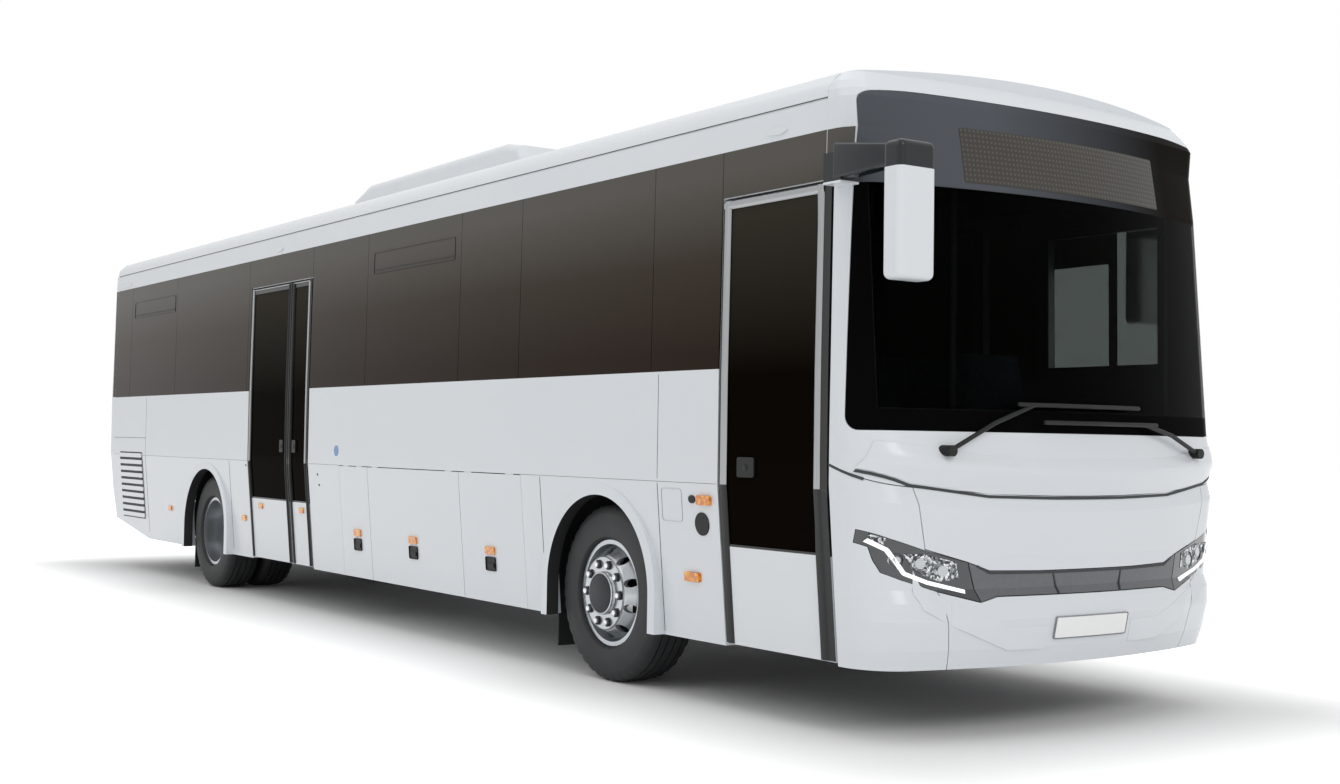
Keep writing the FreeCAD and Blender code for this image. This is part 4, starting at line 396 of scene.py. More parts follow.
FINISHES = {
    "acrylic_enamel_white": "wall_right wall_left roof_shell front_mask front_corners front_bumper "
                            "front_centre_panel rear_mask flap_right_rear flap_right_middle flap_right_front "
                            "flap_left_rear flap_left_front engine_lid arch_trims",
    "gloss_plastic_white": "roof_unit",
    "toughened_glass_brown_painted_reflection": "glazing_right glazing_left rear_glass",
    "toughened_glass_painted_shade_and_reflection": "front_door_glass mid_door_rear_glass mid_door_front_glass",
    "laminated_glass_printed_band_painted_reflection": "windscreen",
    "door_leaf_enamel_and_black": "front_door_leaf mid_door_rear_leaf mid_door_front_leaf",
    "mirror_housing_white_and_slate": "mirrors",
    "steel_tube_brushed": "front_door_arms mid_door_rear_arms mid_door_front_arms",
    "vinyl_floor_grey": "floor_deck step_wells",
    "galvanised_sheet": "luggage_bays",
    "chassis_enamel_black": "chassis_frame front_axle rear_axle front_frame wheel_boxes",
    "cast_iron_black": "engine_block knuckle_right knuckle_left",
    "chromed_steel_polished": "rim_front_right rim_front_left rim_rear_right rim_rear_left",
    "grille_plastic_metallic": "grille_bar",
    "lamp_housing_smoked": "headlamps",
    "red_acrylic": "tail_lamps",
    "amber_acrylic_painted_highlights": "side_lamps",
    "dashboard_soft_skin": "dashboard",
    "textured_plastic_black": "wipers steering_wheel",
    "extruded_rubber_black": "mudflaps",
}
# Looks of trim that are used more than once: the finish, and a slot's name.
SEAM = ("seam_shadow_grey", "arch_rubber")
RUBBER = ("extruded_rubber_black", "arch_rubber")
BLACK = ("textured_plastic_black", "black_plastic")
WHITE = ("gloss_plastic_white", "white_plastic")
BLANK = ("retroreflective_sheet_white", "white_plastic")
ENAMEL = ("acrylic_enamel_white", "white_paint")
AMBER = ("amber_acrylic_painted_highlights", "amber_lamp")
CLEAR = ("clear_acrylic", "lamp_glass")


# Mesh helpers

def join(bm, part):
    """Add a finished part mesh to a piece's mesh and free it."""
    held = bpy.data.meshes.new("part")
    part.to_mesh(held)
    part.free()
    bm.from_mesh(held)
    bpy.data.meshes.remove(held)


def soften(part, edges, radius, segments):
    """Round edges over."""
    bmesh.ops.bevel(part, geom=edges, offset=radius, segments=segments, profile=0.5, material=-1, affect="EDGES")


def rounded_box(low, high, radius, segments=2):
    """A box between two corners with rounded edges."""
    part = bmesh.new()
    bmesh.ops.create_cube(part, size=1)
    bmesh.ops.scale(part, vec=Vector(high) - Vector(low), verts=part.verts[:])
    bmesh.ops.translate(part, vec=(Vector(low) + Vector(high)) / 2, verts=part.verts[:])
    soften(part, part.edges[:], radius, segments)
    return part


def drum(centre, axis, radius, length, steps, bevel):
    """A short cylinder about an axis, with a rounded rim."""
    part = bmesh.new()
    bmesh.ops.create_cone(part, cap_ends=True, segments=steps, radius1=radius, radius2=radius, depth=length)
    soften(part, [edge for edge in part.edges if abs(edge.verts[0].co.z - edge.verts[1].co.z) < 1e-6], bevel, 2)
    turn = Vector((0, 0, 1)).rotation_difference(Vector(axis)).to_matrix()
    bmesh.ops.transform(part, matrix=Matrix.Translation(Vector(centre)) @ turn.to_4x4(), verts=part.verts[:])
    return part


def bar(points, radius):
    """A round bar through points, as a part mesh."""
    curve = bpy.data.curves.new("bar", "CURVE")
    curve.dimensions = "3D"
    curve.bevel_depth = radius
    curve.bevel_resolution = 3
    curve.use_fill_caps = True
    spline = curve.splines.new("POLY")
    spline.points.add(len(points) - 1)
    for spot, point in zip(spline.points, points):
        spot.co = (*point, 1)
    holder = bpy.data.objects.new("bar", curve)
    mesh = bpy.data.meshes.new_from_object(holder)
    part = bmesh.new()
    part.from_mesh(mesh)
    bpy.data.objects.remove(holder)
    bpy.data.curves.remove(curve)
    bpy.data.meshes.remove(mesh)
    return part


def shown(name, data):
    """A new object in the scene."""
    made = bpy.data.objects.new(name, data)
    bpy.context.scene.collection.objects.link(made)
    return made


def piece(name, bm, look, body="coach"):
    """Turn a mesh into a finished piece that rides on a body."""
    finish, slot = look
    mesh = bpy.data.meshes.new(name)
    bmesh.ops.remove_doubles(bm, verts=bm.verts[:], dist=1e-6)
    bm.to_mesh(mesh)
    bm.free()
    mesh.materials.append(MADE[finish])
    mesh.shade_smooth()
    mesh.set_sharp_from_angle(angle=math.radians(35))
    made = shown(name, mesh)
    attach(made, body)
    return made


def parts_piece(name, parts, look, body="coach"):
    """A piece made of several closed parts."""
    bm = bmesh.new()
    for part in parts:
        bmesh.ops.recalc_face_normals(part, faces=part.faces[:])
        join(bm, part)
    return piece(name, bm, look, body)


def panel(low_a, high_a, low_b, high_b, radius=0, steps=4):
    """A rectangle's outline, with rounded corners where it has a radius."""
    if not radius:
        return [(low_a, low_b), (high_a, low_b), (high_a, high_b), (low_a, high_b)]
    points = []
    for across, up, turn in ((high_a, low_b, -90), (high_a, high_b, 0), (low_a, high_b, 90), (low_a, low_b, 180)):
        centre = (across - math.copysign(radius, across - (low_a + high_a) / 2),
                  up - math.copysign(radius, up - (low_b + high_b) / 2))
        for step in range(steps + 1):
            angle = math.radians(turn + 90 * step / steps)
            points.append((centre[0] + radius * math.cos(angle), centre[1] + radius * math.sin(angle)))
    return points


def side_panel(rear, front, low, high, radius=0):
    """The outline of a panel on the coach's side, between two stations."""
    return panel(station(rear), station(front), low, high, radius)


def side_spot(along, half, low, high, radius=0):
    """The outline of a small panel on the coach's side, round a station."""
    return side_panel(along - half, along + half, low, high, radius)


def ellipse(across, up, half_a, half_b, steps=20):
    return [(across + half_a * math.cos(2 * math.pi * step / steps),
             up + half_b * math.sin(2 * math.pi * step / steps)) for step in range(steps)]


def crown(along, low, high):
    """Heights that round a strip over: full on its centre line and next to none at its edges."""
    middle, half = (low + high) / 2, (high - low) / 2
    return lambda spot: math.sqrt(max(0.0025, 1 - ((spot[along] - middle) / half) ** 2))


def islands(node):
    """Low and high corners of each separate solid of a CAD node."""
    bm = bmesh.new()
    bm.from_mesh(NODES[node].data)
    bmesh.ops.remove_doubles(bm, verts=bm.verts[:], dist=1e-5)
    seen, found = set(), []
    for vertex in bm.verts:
        group, queue = [], [vertex]
        while queue:
            here = queue.pop()
            if here not in seen:
                seen.add(here)
                group.append(here.co.copy())
                queue += [edge.other_vert(here) for edge in here.link_edges]
        if group:
            found.append([Vector([pick(point[axis] for point in group) for axis in (X, Y, Z)])
                          for pick in (min, max)])
    bm.free()
    return found


def sliced(bm, steps):
    """Cut a flat mesh into strips so that it can follow a curve; the steps are along X, Y and Z."""
    for axis, step in enumerate(steps):
        places = [vertex.co[axis] for vertex in bm.verts]
        low, high = min(places), max(places)
        count = int((high - low) / step)
        for number in range(count):
            point, normal = Vector((0, 0, 0)), Vector((0, 0, 0))
            point[axis] = low + (number + 1) * (high - low) / (count + 1)
            normal[axis] = 1
            bmesh.ops.bisect_plane(bm, geom=bm.verts[:] + bm.edges[:] + bm.faces[:], plane_co=point,
                                   plane_no=normal)


class Skin:
    """The faces of some CAD nodes, felt from outside along an axis, to lay fittings on."""

    FEELERS = ((0, 0), (0.008, 0), (-0.008, 0), (0, 0.008), (0, -0.008))
    SINK = 2 * MM

    def __init__(self, axis, way, names):
        corners, faces = [], []
        for name in names.split():
            mesh = NODES[name].data
            first = len(corners)
            corners += [vertex.co.copy() for vertex in mesh.vertices]
            faces += [[first + index for index in face.vertices] for face in mesh.polygons]
        self.tree = BVHTree.FromPolygons(corners, faces)
        self.axis, self.way = axis, way

    def surface(self, point):
        """Outermost place of the skin, felt at a point and just round it."""
        others = [index for index in (X, Y, Z) if index != self.axis]
        direction = Vector((0, 0, 0))
        direction[self.axis] = -self.way
        found = []
        for felt in self.FEELERS:
            origin = Vector(point)
            for index, move in zip(others, felt):
                origin[index] += move
            origin[self.axis] = 20 * self.way
            hit = self.tree.ray_cast(origin, direction)[0]
            if hit is not None:
                found.append(hit[self.axis])
        if not found:
            raise RuntimeError("a fitting lies outside its skin at %s" % (tuple(point),))
        return max(found) if self.way > 0 else min(found)

    def plate(self, bm, outline, proud, hole=0, step=0.06, height=None):
        """A thin plate, or with hole a ring of that width, laid on the skin from just under it.

        height gives each place's share of the full thickness.
        """
        part = bmesh.new()
        corners = []
        for across, up in outline:
            values = [across, up]
            values.insert(self.axis, 0)
            corners.append(part.verts.new(values))
        face = part.faces.new(corners)
        if hole:
            bmesh.ops.inset_region(part, faces=[face], thickness=hole, use_boundary=True, use_even_offset=True)
            bmesh.ops.delete(part, geom=[face], context="FACES")
        sliced(part, step if isinstance(step, tuple) else (step, step, step))
        for vertex in part.verts:
            vertex.co[self.axis] = -self.SINK * self.way
        result = bmesh.ops.extrude_face_region(part, geom=part.faces[:])
        upper = [item for item in result["geom"] if isinstance(item, bmesh.types.BMVert)]
        for vertex in upper:
            vertex.co[self.axis] = proud * self.way * (height(vertex.co) if height else 1)
        for vertex in part.verts:
            vertex.co[self.axis] += self.surface(vertex.co)
        bmesh.ops.recalc_face_normals(part, faces=part.faces[:])
        join(bm, part)

    def fit(self, name, look, plates, body="coach"):
        """A piece of plates, each an outline, how far it stands out, and its other choices."""
        bm = bmesh.new()
        for plate in plates:
            self.plate(bm, *plate)
        return piece(name, bm, look, body)


DOORS = ("front_door", "mid_door_rear", "mid_door_front")
DOOR_SKIN = " ".join(name + part for name in DOORS for part in ("_leaf", "_glass"))
SIDE_SKINS = {
    RIGHT: "wall_right glazing_right flap_right_rear flap_right_middle flap_right_front arch_trims front_mask "
           "front_corners rear_mask " + DOOR_SKIN,
    LEFT: "wall_left glazing_left flap_left_rear flap_left_front arch_trims front_mask front_corners rear_mask",
}
FRONT_SKIN = "front_mask front_corners front_bumper front_centre_panel grille_bar headlamps windscreen"


# Frame finishes

DRIVER_WINDOW = (1.02, 2.62)
ARCH_HIGH = 0.53


class COACH_OT_finishes(bpy.types.Operator):
    """Give every CAD node the finish of the real piece"""
    bl_idname = "coach.finishes"
    bl_label = "Finish the frame"

    def execute(self, context):
        make_materials()
        for finish, nodes in FINISHES.items():
            for name in nodes.split():
                NODES[name].data.materials.clear()
                NODES[name].data.materials.append(MADE[finish])
        self.second("arch_trims", "extruded_rubber_black", self.faces_wheel)
        self.second("glazing_left", "toughened_glass_clear", self.beside_driver)
        return {"FINISHED"}

    def second(self, node, finish, chosen):
        """A second slot on a node's mesh for the faces that are chosen."""
        mesh = NODES[node].data
        mesh.materials.append(MADE[finish])
        for face in mesh.polygons:
            if chosen(face):
                face.material_index = 1

    def faces_wheel(self, face):
        """An arch trim is black rubber towards its wheel."""
        axle = min((AXLE, REAR_AXLE), key=lambda along: abs(face.center.x - along))
        hub = Vector((axle, face.center.y, min(face.center.z, ARCH_HIGH)))
        return face.normal.dot((hub - face.center).normalized()) > 0.6

    def beside_driver(self, face):
        """The pane beside the driver is clear."""
        return face.center.x > station(DRIVER_WINDOW[0]) and face.center.z < DRIVER_WINDOW[1]


# Sides: places along the coach are stations, in metres forward from the front axle

SEAMS = ((-5.93, 0.38, 1.14), (-0.635, 0.6, 1.14), (0.602, 0.35, 1.72), (-8.28, 0.4, 1.72))
LEVEL_SEAMS = ((-9.33, -8.28, 1.323, 1), (-9.33, -5.5, 1.150, 0.5), (-4.17, -3.6, 1.150, 0.5),
               (-0.86, 1.13, 1.150, 0.5))
HOPPERS = ((-3.05, -1.795, 2.54, 2.69), (-8.75, -7.495, 2.525, 2.682))
MARKER_STATIONS = (-7.592, -5.63)
RAIL_COVERS = (1.577, -4.895)
LOUVRE = (-9.12, -8.38, 0.52, 1.18)
BAND_ENDS = {RIGHT: (1.95, 2.10, 2.612, 2.838), LEFT: (1.95, 2.07, 1.84, 2.838)}
KEYHOLES = ((-3.98, 0.99), (-5.53, 1.11), (-4.0, 1.07))
FLAP_LATCHES = {"flap_right_rear": -3.31, "flap_right_middle": -2.395, "flap_right_front": -1.295,
                "flap_left_rear": -2.6, "flap_left_front": -1.5}


def side_disc(along, up, half_a, half_b, steps=20):
    """The outline of a round fitting on the coach's side, at a station."""
    return ellipse(station(along), up, half_a, half_b, steps)


def side_fittings(side):
    """Name, look and plates of each fitting that is fixed to a side."""
    half, pitch = sizes().seam_width / 2, sizes().slat_pitch
    rear, front, low, high = LOUVRE
    feet = [low + number * pitch + 0.012 for number in range(int((high - low) / pitch))]
    return (
        ("panel_seams_", SEAM,
         [(side_spot(along, half, low, high), half / 4) for along, low, high in SEAMS]
         + [(side_panel(rear, front, high - half * share, high + half * share), half / 4)
            for rear, front, high, share in LEVEL_SEAMS]),
        ("hopper_frames_", RUBBER,
         [plate for rear, front, low, high in HOPPERS
          for plate in ((side_panel(rear, front, low, high, 0.012), 0.004, 0.013),
                        (side_panel(rear + 0.02, front - 0.02, low + 0.022, low + 0.03), 0.003))]),
        ("marker_lamps_", AMBER,
         [(side_spot(along, 0.045, 0.638, 0.682, 0.008), 0.012) for along in MARKER_STATIONS]
         + [(side_panel(0.824, 0.95, 0.635, 0.685, 0.01), 0.014),
            (side_panel(0.97, 1.085, 1.038, 1.089, 0.012), 0.018)]),
        ("cant_rail_covers_", WHITE,
         [(side_disc(along, 2.885, 0.075, 0.018), 0.008) for along in RAIL_COVERS]
         + [(side_panel(-9.33, -8.93, 2.862, 2.898, 0.008), 0.004)]),
        ("louvre_shadow_", SEAM, [(side_panel(*LOUVRE, 0.02), MM)]),
        ("louvre_slats_", ENAMEL,
         [(side_panel(rear + 0.01, front - 0.01, foot, foot + pitch * 0.62, 0.01), 0.011) for foot in feet]),
        ("glazing_band_ends_", ("toughened_glass_brown_painted_reflection", "tinted_glass"),
         [(side_panel(*BAND_ENDS[side]), MM), (side_panel(-9.42, -9.343, 1.74, 2.838), MM, 0, 0.015)]),
        # Filler cap, round cover and keyholes
        ("filler_and_locks_", BLACK,
         [(side_disc(0.915, 1.065, 0.028, 0.021), 0.006), (side_disc(0.995, 0.94, 0.06, 0.06, 28), 0.005)]
         + [(side_disc(*spot, 0.009, 0.009, 12), 0.002) for spot in KEYHOLES]),
        ("service_flap_line_", ("soft_line_grey", "arch_rubber"),
         [(side_panel(0.639, 0.822, 0.943, 1.116, 0.02), 0.002, 0.005)]),
        ("plain_disc_", ("badge_disc_blue", "black_plastic"), [(side_disc(-3.64, 1.257, 0.042, 0.042), MM)]),
    )


class COACH_OT_side_trim(bpy.types.Operator):
    """Seams, hopper frames, louvres, markers and small fittings along both sides"""
    bl_idname = "coach.side_trim"
    bl_label = "Side trim"

    def execute(self, context):
        for side, word in SIDES:
            skin = Skin(Y, side, SIDE_SKINS[side])
            for name, look, plates in side_fittings(side):
                skin.fit(name + word, look, plates)
            for flap, along in FLAP_LATCHES.items():
                if word in flap:
                    rim = side_spot(along, 0.062, 0.53, 0.618, 0.012)
                    pull = side_spot(along, 0.042, 0.55, 0.578, 0.006)
                    skin.fit(flap + "_latch", BLACK, [(rim, 0.003), (rim, 0.010, 0.010), (pull, 0.009)], flap)
                    skin.fit(flap + "_marker", AMBER, [(side_spot(along, 0.058, 0.634, 0.684, 0.008), 0.012)], flap)
        return {"FINISHED"}


# Doors

BELT_HIGH = 1.15
DOOR_MARKERS = {"mid_door_rear": -5.223, "mid_door_front": -4.354}


class COACH_OT_door_trim(bpy.types.Operator):
    """Seals, aluminium frames, locks and handles that ride with the door leaves"""
    bl_idname = "coach.door_trim"
    bl_label = "Door trim"

    def execute(self, context):
        skin = Skin(Y, RIGHT, DOOR_SKIN)
        for name in DOORS:
            low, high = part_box(name + "_leaf")
            foot, head = low.z + 0.004, high.z - 0.004
            wide, rear, front = (0.052, 0.25, 1) if name == "front_door" else (0.013, 0.65, 0.65)
            near, far = low.x + sizes().seal_width * rear, high.x - sizes().seal_width * front
            edges = ((low.x + MM, near), (far, high.x - MM))
            skin.fit(name + "_seals", RUBBER,
                     [(panel(*edge, foot, head), sizes().strip_proud, 0, 0.2) for edge in edges], name)
            self.profiles(skin, name, near, far, foot, head, wide)
            self.lock(skin, name, low, high)
            if name in DOOR_MARKERS:
                marker = side_spot(DOOR_MARKERS[name], 0.04, 0.757, 0.8, 0.008)
                skin.fit(name + "_marker", AMBER, [(marker, 0.012)], name)
        return {"FINISHED"}

    def profiles(self, skin, name, near, far, foot, head, wide):
        """Rounded aluminium uprights and head rail, black below the belt, a painted reflection of the dark ground in
        the aluminium, and black rubber where two leaves meet.
        """
        bright, dark = [], []
        meeting = {"mid_door_rear": far - wide, "mid_door_front": near}.get(name)
        for rear in (near, far - wide):
            # Below the belt an upright is black: painted reflection of the dark ground in its aluminium.
            turn = head if rear == meeting else BELT_HIGH
            ends = (rear, rear + wide)
            rounded = (0.012, 0, (wide / 7, 1, 0.2), crown(X, *ends))
            if turn < head:
                bright.append((panel(*ends, turn, head), *rounded))
            dark.append((panel(*ends, foot, turn), *rounded))
        rail = (head - wide * 0.8, head)
        bright.append((panel(near, far, *rail), 0.010, 0, (0.2, 1, wide / 7), crown(Z, *rail)))
        skin.fit(name + "_bright_frame", ("anodised_aluminium_brushed", "door_aluminium"), bright, name)
        skin.fit(name + "_lower_frame", RUBBER, dark, name)

    def lock(self, skin, name, low, high):
        """A square black lock plate with its pull."""
        centre = {"front_door": station(1.376), "mid_door_rear": high.x - 0.13, "mid_door_front": low.x + 0.12}[name]
        height, half = (1.24, 0.068) if name == "front_door" else (1.28, 0.035)
        bm = bmesh.new()
        skin.plate(bm, panel(centre - half, centre + half, height - 0.05, height + 0.05, 0.012), 0.012)
        join(bm, drum((centre, low.y + 0.006, height), (0, 1, 0), 0.018, 0.03, 24, 0.003))
        piece(name + "_lock", bm, BLACK, name)


# Front: places are (across, up), from the right corner to the middle

DAYLIGHT = ((-1.225, 0.928), (-1.190, 0.905), (-1.156, 0.885), (-1.123, 0.838), (-1.079, 0.777), (-0.964, 0.735),
            (-0.773, 0.690))
CREASE = ((-1.21, 1.33), (-0.997, 1.307), (-0.703, 1.273), (-0.329, 1.253), (0, 1.252))
GROOVE = ((-1.262, 1.243), (-1.13, 1.203), (-1.061, 1.179), (-0.645, 1.128), (-0.245, 1.119), (0, 1.118))
GROOVE_CORNER = (2.055, 1.25)
GROOVE_FALL = (1.25 - 1.118) / (2.485 - 2.055)
GROOVE_WIDE = 0.013
FOLDS = (((-0.855, 0.537), (-0.704, 0.478), (-0.533, 0.411), (-0.3, 0.409)),
         ((-1.034, 0.68), (-0.999, 0.611), (-0.93, 0.575), (-0.885, 0.552)))
FOLD_DEPTH = 0.11
BROW_BACK = 0.05
LAMP_UNITS = ((-1.115, 0.838, 0.030), (-1.0, 0.822, 0.042), (-0.885, 0.786, 0.044))
# Parts of a lamp unit: its look, half width and half height as shares of its radius, corners, height and ring.
LAMP_PARTS = {
    "lamp_wells_": (("lamp_housing_smoked", "black_plastic"), 1, 0.94, 24, 0.003, 0.3),
    "lamp_rims_": (("lamp_reflector_bright", "lamp_glass"), 1.1, 1.04, 24, 0.006, 0.14),
    "lamp_lenses_": (CLEAR, 0.62, 0.58, 20, 0.004, 0),
}
REFLECTORS = (((-1.085, 0.868), (-0.965, 0.862), (-0.815, 0.826), (-0.80, 0.750), (-0.90, 0.738), (-0.985, 0.768),
               (-1.045, 0.812)),
              ((-1.222, 0.957), (-1.16, 0.938), (-1.168, 0.908), (-1.208, 0.93)))
GRILLE_SPLITS = (-0.22, 0.22)
GRILLE_HEAD = ((-0.70, 0.806), (-0.628, 0.772), (-0.3, 0.767), (0.3, 0.767), (0.628, 0.772), (0.70, 0.806))


def mirrored(points):
    """A line from the right corner to the middle, carried on to the left."""
    return list(points) + [(-across, up) for across, up in reversed(points) if across < 0]


def level_at(line, across):
    """Height of a line of (across, up) points at a place."""
    for first, second in zip(line, line[1:]):
        if first[0] <= across <= second[0]:
            return first[1] + (second[1] - first[1]) * (across - first[0]) / (second[0] - first[0])
    return line[0][1] if across < line[0][0] else line[-1][1]


def ribbon(points, width, proud):
    """Plates of a strip of a width along points on the coach's face."""
    plates = []
    for first, second in zip(points, points[1:]):
        first, second = Vector(first), Vector(second)
        side = (second - first).orthogonal().normalized() * width / 2
        plates.append(([first - side, second - side, second + side, first + side], proud, 0, 0.05))
    return plates


def brow():
    """A brow that stands out over the groove and runs back into the panel above it."""
    line, foot = mirrored(CREASE), mirrored(GROOVE)
    outline = [(across, up + BROW_BACK) for across, up in line]
    outline += [(across, up + 0.012) for across, up in reversed(foot)]

    def height(spot):
        low, high = level_at(foot, spot.y) + 0.012, level_at(line, spot.y)
        fade = min(1, (1.21 - abs(spot.y)) / 0.16)
        up = min((spot.z - low) / max(high - low, 0.01), 1 - (spot.z - high) / BROW_BACK)
        return min(1, max(0.04, fade * up))
    return outline, sizes().brow_proud, 0, (1, 0.05, 0.02), height


def fold(line):
    """A plate that stands out along a crease and runs back into the panel above it."""
    outline = list(line) + [(across, up + FOLD_DEPTH) for across, up in reversed(line)]

    def height(spot):
        above = 1 - (spot.z - level_at(line, spot.y)) / FOLD_DEPTH
        fade = min(spot.y - line[0][0], line[-1][0] - spot.y, 0.06) / 0.06
        return min(1, max(0.04, above * fade))
    return outline, sizes().fold_proud, 0, (1, 0.02, 0.02), height


class COACH_OT_front_trim(bpy.types.Operator):
    """Display, daylight strips, lamp lenses, grille lines, creases and the blank number plate"""
    bl_idname = "coach.front_trim"
    bl_label = "Front trim"

    def execute(self, context):
        skin = Skin(X, 1, FRONT_SKIN)
        skin.fit("route_display", ("dot_display_unlit", "black_plastic"),
                 [(panel(-0.70, 0.70, 2.607, 2.873, 0.01), MM)])
        self.lamps(skin)
        skin.fit("front_brow", ENAMEL, [brow()])
        self.groove(skin)
        lines = [way for line in FOLDS for way in (line, [(-across, up) for across, up in reversed(line)])]
        skin.fit("front_folds", ENAMEL, [fold(line) for line in lines])
        splits = [plate for across in GRILLE_SPLITS
                  for plate in ribbon([(across, 0.668), (across * 1.12, 0.772)], 0.008, 0.002)]
        skin.fit("grille_lines", SEAM, splits + ribbon(GRILLE_HEAD, 0.010, 0.002))
        skin.fit("number_plate_rim", ("soft_line_grey", "black_plastic"),
                 [(panel(-0.257, 0.257, 0.451, 0.559, 0.01), 0.010, 0.005)])
        skin.fit("number_plate_blank", BLANK, [(panel(-0.252, 0.252, 0.456, 0.554, 0.006), 0.009)])
        return {"FINISHED"}

    def lamps(self, skin):
        """Faceted reflectors with light units on them: bright rims round dark bowls and clear centres."""
        for side, word in ((1, "right"), (-1, "left")):
            strip, *facets = [[(across * side, up) for across, up in line] for line in (DAYLIGHT, *REFLECTORS)]
            skin.fit("daylight_strip_" + word, ("daylight_strip_white", "lamp_glass"), ribbon(strip, 0.018, 0.004))
            skin.fit("lamp_reflectors_" + word, ("metallised_reflector_painted_glints", "lamp_glass"),
                     [(outline, MM) for outline in facets])
            for part, (look, half_wide, half_high, corners, proud, ring) in LAMP_PARTS.items():
                skin.fit(part + word, look,
                         [(ellipse(across * side, up, radius * half_wide, radius * half_high, corners), proud,
                           radius * ring) for across, up, radius in LAMP_UNITS])

    def groove(self, skin):
        """A dark strip under the brow, painted shade in the groove, carried round both corners."""
        bm = bmesh.new()
        for plate in ribbon(mirrored(GROOVE), GROOVE_WIDE, MM):
            skin.plate(bm, *plate)
        for side in (RIGHT, LEFT):
            ends = [(station(along), GROOVE_CORNER[1] - GROOVE_FALL * (along - GROOVE_CORNER[0]))
                    for along in (2.0, 2.2)]
            outline = [(along, up - GROOVE_WIDE / 2) for along, up in ends]
            outline += [(along, up + GROOVE_WIDE / 2) for along, up in reversed(ends)]
            Skin(Y, side, "front_mask front_corners").plate(bm, outline, MM)
        piece("groove_painted_shade", bm, SEAM)


# Wheels

NUTS = 10
NUT_CIRCLE = 0.1675
AXLE_WORDS = ("front", "rear")
# The tyre's wall from its tread's edge inwards: share of its half width, and how far under its outer radius.
TYRE_WALL = ((0.76, 0.003), (0.868, 0.017), (0.93, 0.045), (0.95, 0.052), (0.955, 0.060), (0.985, 0.085), (1, 0.12),
             (0.985, 0.155), (0.955, 0.176), (0.95, 0.182), (0.90, 0.189))


def tyre_profile(half, radius):
    """Half outline of a tyre from its tread's middle to its bead: across and out."""
    groove, depth = sizes().groove_width, sizes().tread_depth
    bead, seat_radius = half * 0.712, 0.303
    points = [(0, radius)]
    for middle in (half * 0.17, half * 0.5):
        points += [(middle - groove / 2, radius), (middle - groove / 2.6, radius - depth),
                   (middle + groove / 2.6, radius - depth), (middle + groove / 2, radius)]
    points += [(half * share, radius - inward) for share, inward in TYRE_WALL]
    return points + [(bead * 1.12, seat_radius + 0.004), (bead, seat_radius), (bead * 0.6, seat_radius)]


def tyre(centre, half, radius):
    """A tyre turned from its outline, with every third facet of its shoulders cut in."""
    steps = sizes().tyre_steps
    outline = tyre_profile(half, radius)
    part = bmesh.new()
    chain = [part.verts.new((0, across, out))
             for across, out in [(-across, out) for across, out in reversed(outline[1:])] + outline]
    for ends in zip(chain, chain[1:]):
        part.edges.new(ends)
    bmesh.ops.spin(part, geom=part.verts[:] + part.edges[:], cent=(0, 0, 0), axis=(0, 1, 0), angle=2 * math.pi,
                   steps=steps, use_merge=True)
    for vertex in part.verts:
        turn = round(math.atan2(vertex.co.x, vertex.co.z) / (2 * math.pi) * steps)
        if half * 0.74 < abs(vertex.co.y) < half * 0.9 and turn % 3 == 0:
            out = math.hypot(vertex.co.x, vertex.co.z)
            share = (out - sizes().tread_depth * 0.7) / out
            vertex.co.x *= share
            vertex.co.z *= share
    bmesh.ops.translate(part, vec=centre, verts=part.verts[:])
    return part


class COACH_OT_tyres(bpy.types.Operator):
    """Tyres with grooves and shoulder notches, in place of the plain ones"""
    bl_idname = "coach.tyres"
    bl_label = "Tyres"

    def execute(self, context):
        for word in AXLE_WORDS:
            for _, side in SIDES:
                node = "tyre_%s_%s" % (word, side)
                tyres = [tyre((low + high) / 2, (high.y - low.y) / 2, (high.z - low.z) / 2)
                         for low, high in islands(node)]
                made = parts_piece(node + "_treaded", tyres, ("vulcanised_tyre_rubber", "tyre_rubber"),
                                   "wheel_%s_%s" % (word, side))
                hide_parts(node)
        return {"FINISHED"}


class COACH_OT_wheel_trim(bpy.types.Operator):
    """Nut caps, hub caps and a bright ring for the disc's step on the chromed wheels, with painted shadow: dark
    washers round the nuts and a dark ring beside the step
    """
    bl_idname = "coach.wheel_trim"
    bl_label = "Wheel trim"

    def execute(self, context):
        for word in AXLE_WORDS:
            for way, side in SIDES:
                node, body = "rim_%s_%s" % (word, side), "wheel_%s_%s" % (word, side)
                skin, middle, outward = Skin(Y, way, node), middle_of(node), Vector((0, way, 0))
                middle.y = skin.surface(middle + Vector((0.1, 0, 0)))
                bright, dark, nuts = bmesh.new(), bmesh.new(), bmesh.new()
                join(dark, drum(middle + outward * 0.004, outward, 0.111, 0.016, 40, 0.004))
                join(bright, drum(middle, outward, 0.121, 0.014, 40, 0.004))
                if word == "front":
                    skin.plate(bright, ellipse(middle.x, middle.z, 0.203, 0.203, 48), 0.005, 0.009)
                    # A dark ring beside the bright one is painted shadow of the step.
                    skin.plate(dark, ellipse(middle.x, middle.z, 0.209, 0.209, 48), MM, 0.006)
                for number in range(NUTS):
                    turn = 2 * math.pi * number / NUTS
                    spot = middle + Vector((math.cos(turn), 0, math.sin(turn))) * NUT_CIRCLE
                    spot.y = skin.surface(spot)
                    # A dark washer under each nut cap is painted shadow round the nut.
                    join(dark, drum(spot - outward * 0.014, outward, 0.0255, 0.010, 20, 0.002))
                    join(nuts, drum(spot, outward, 0.0165, 0.010, 16, 0.004))
                piece(node + "_nut_caps", nuts, ("nut_cap_polished", "wheel_chrome"), body)
                piece(node + "_hub_cap_and_painted_shadows", dark, ("hub_cap_black_and_painted_shadow", "black_plastic"), body)
                piece(node + "_bright_trim", bright, ("chromed_steel_polished", "wheel_chrome"), body)
        return {"FINISHED"}


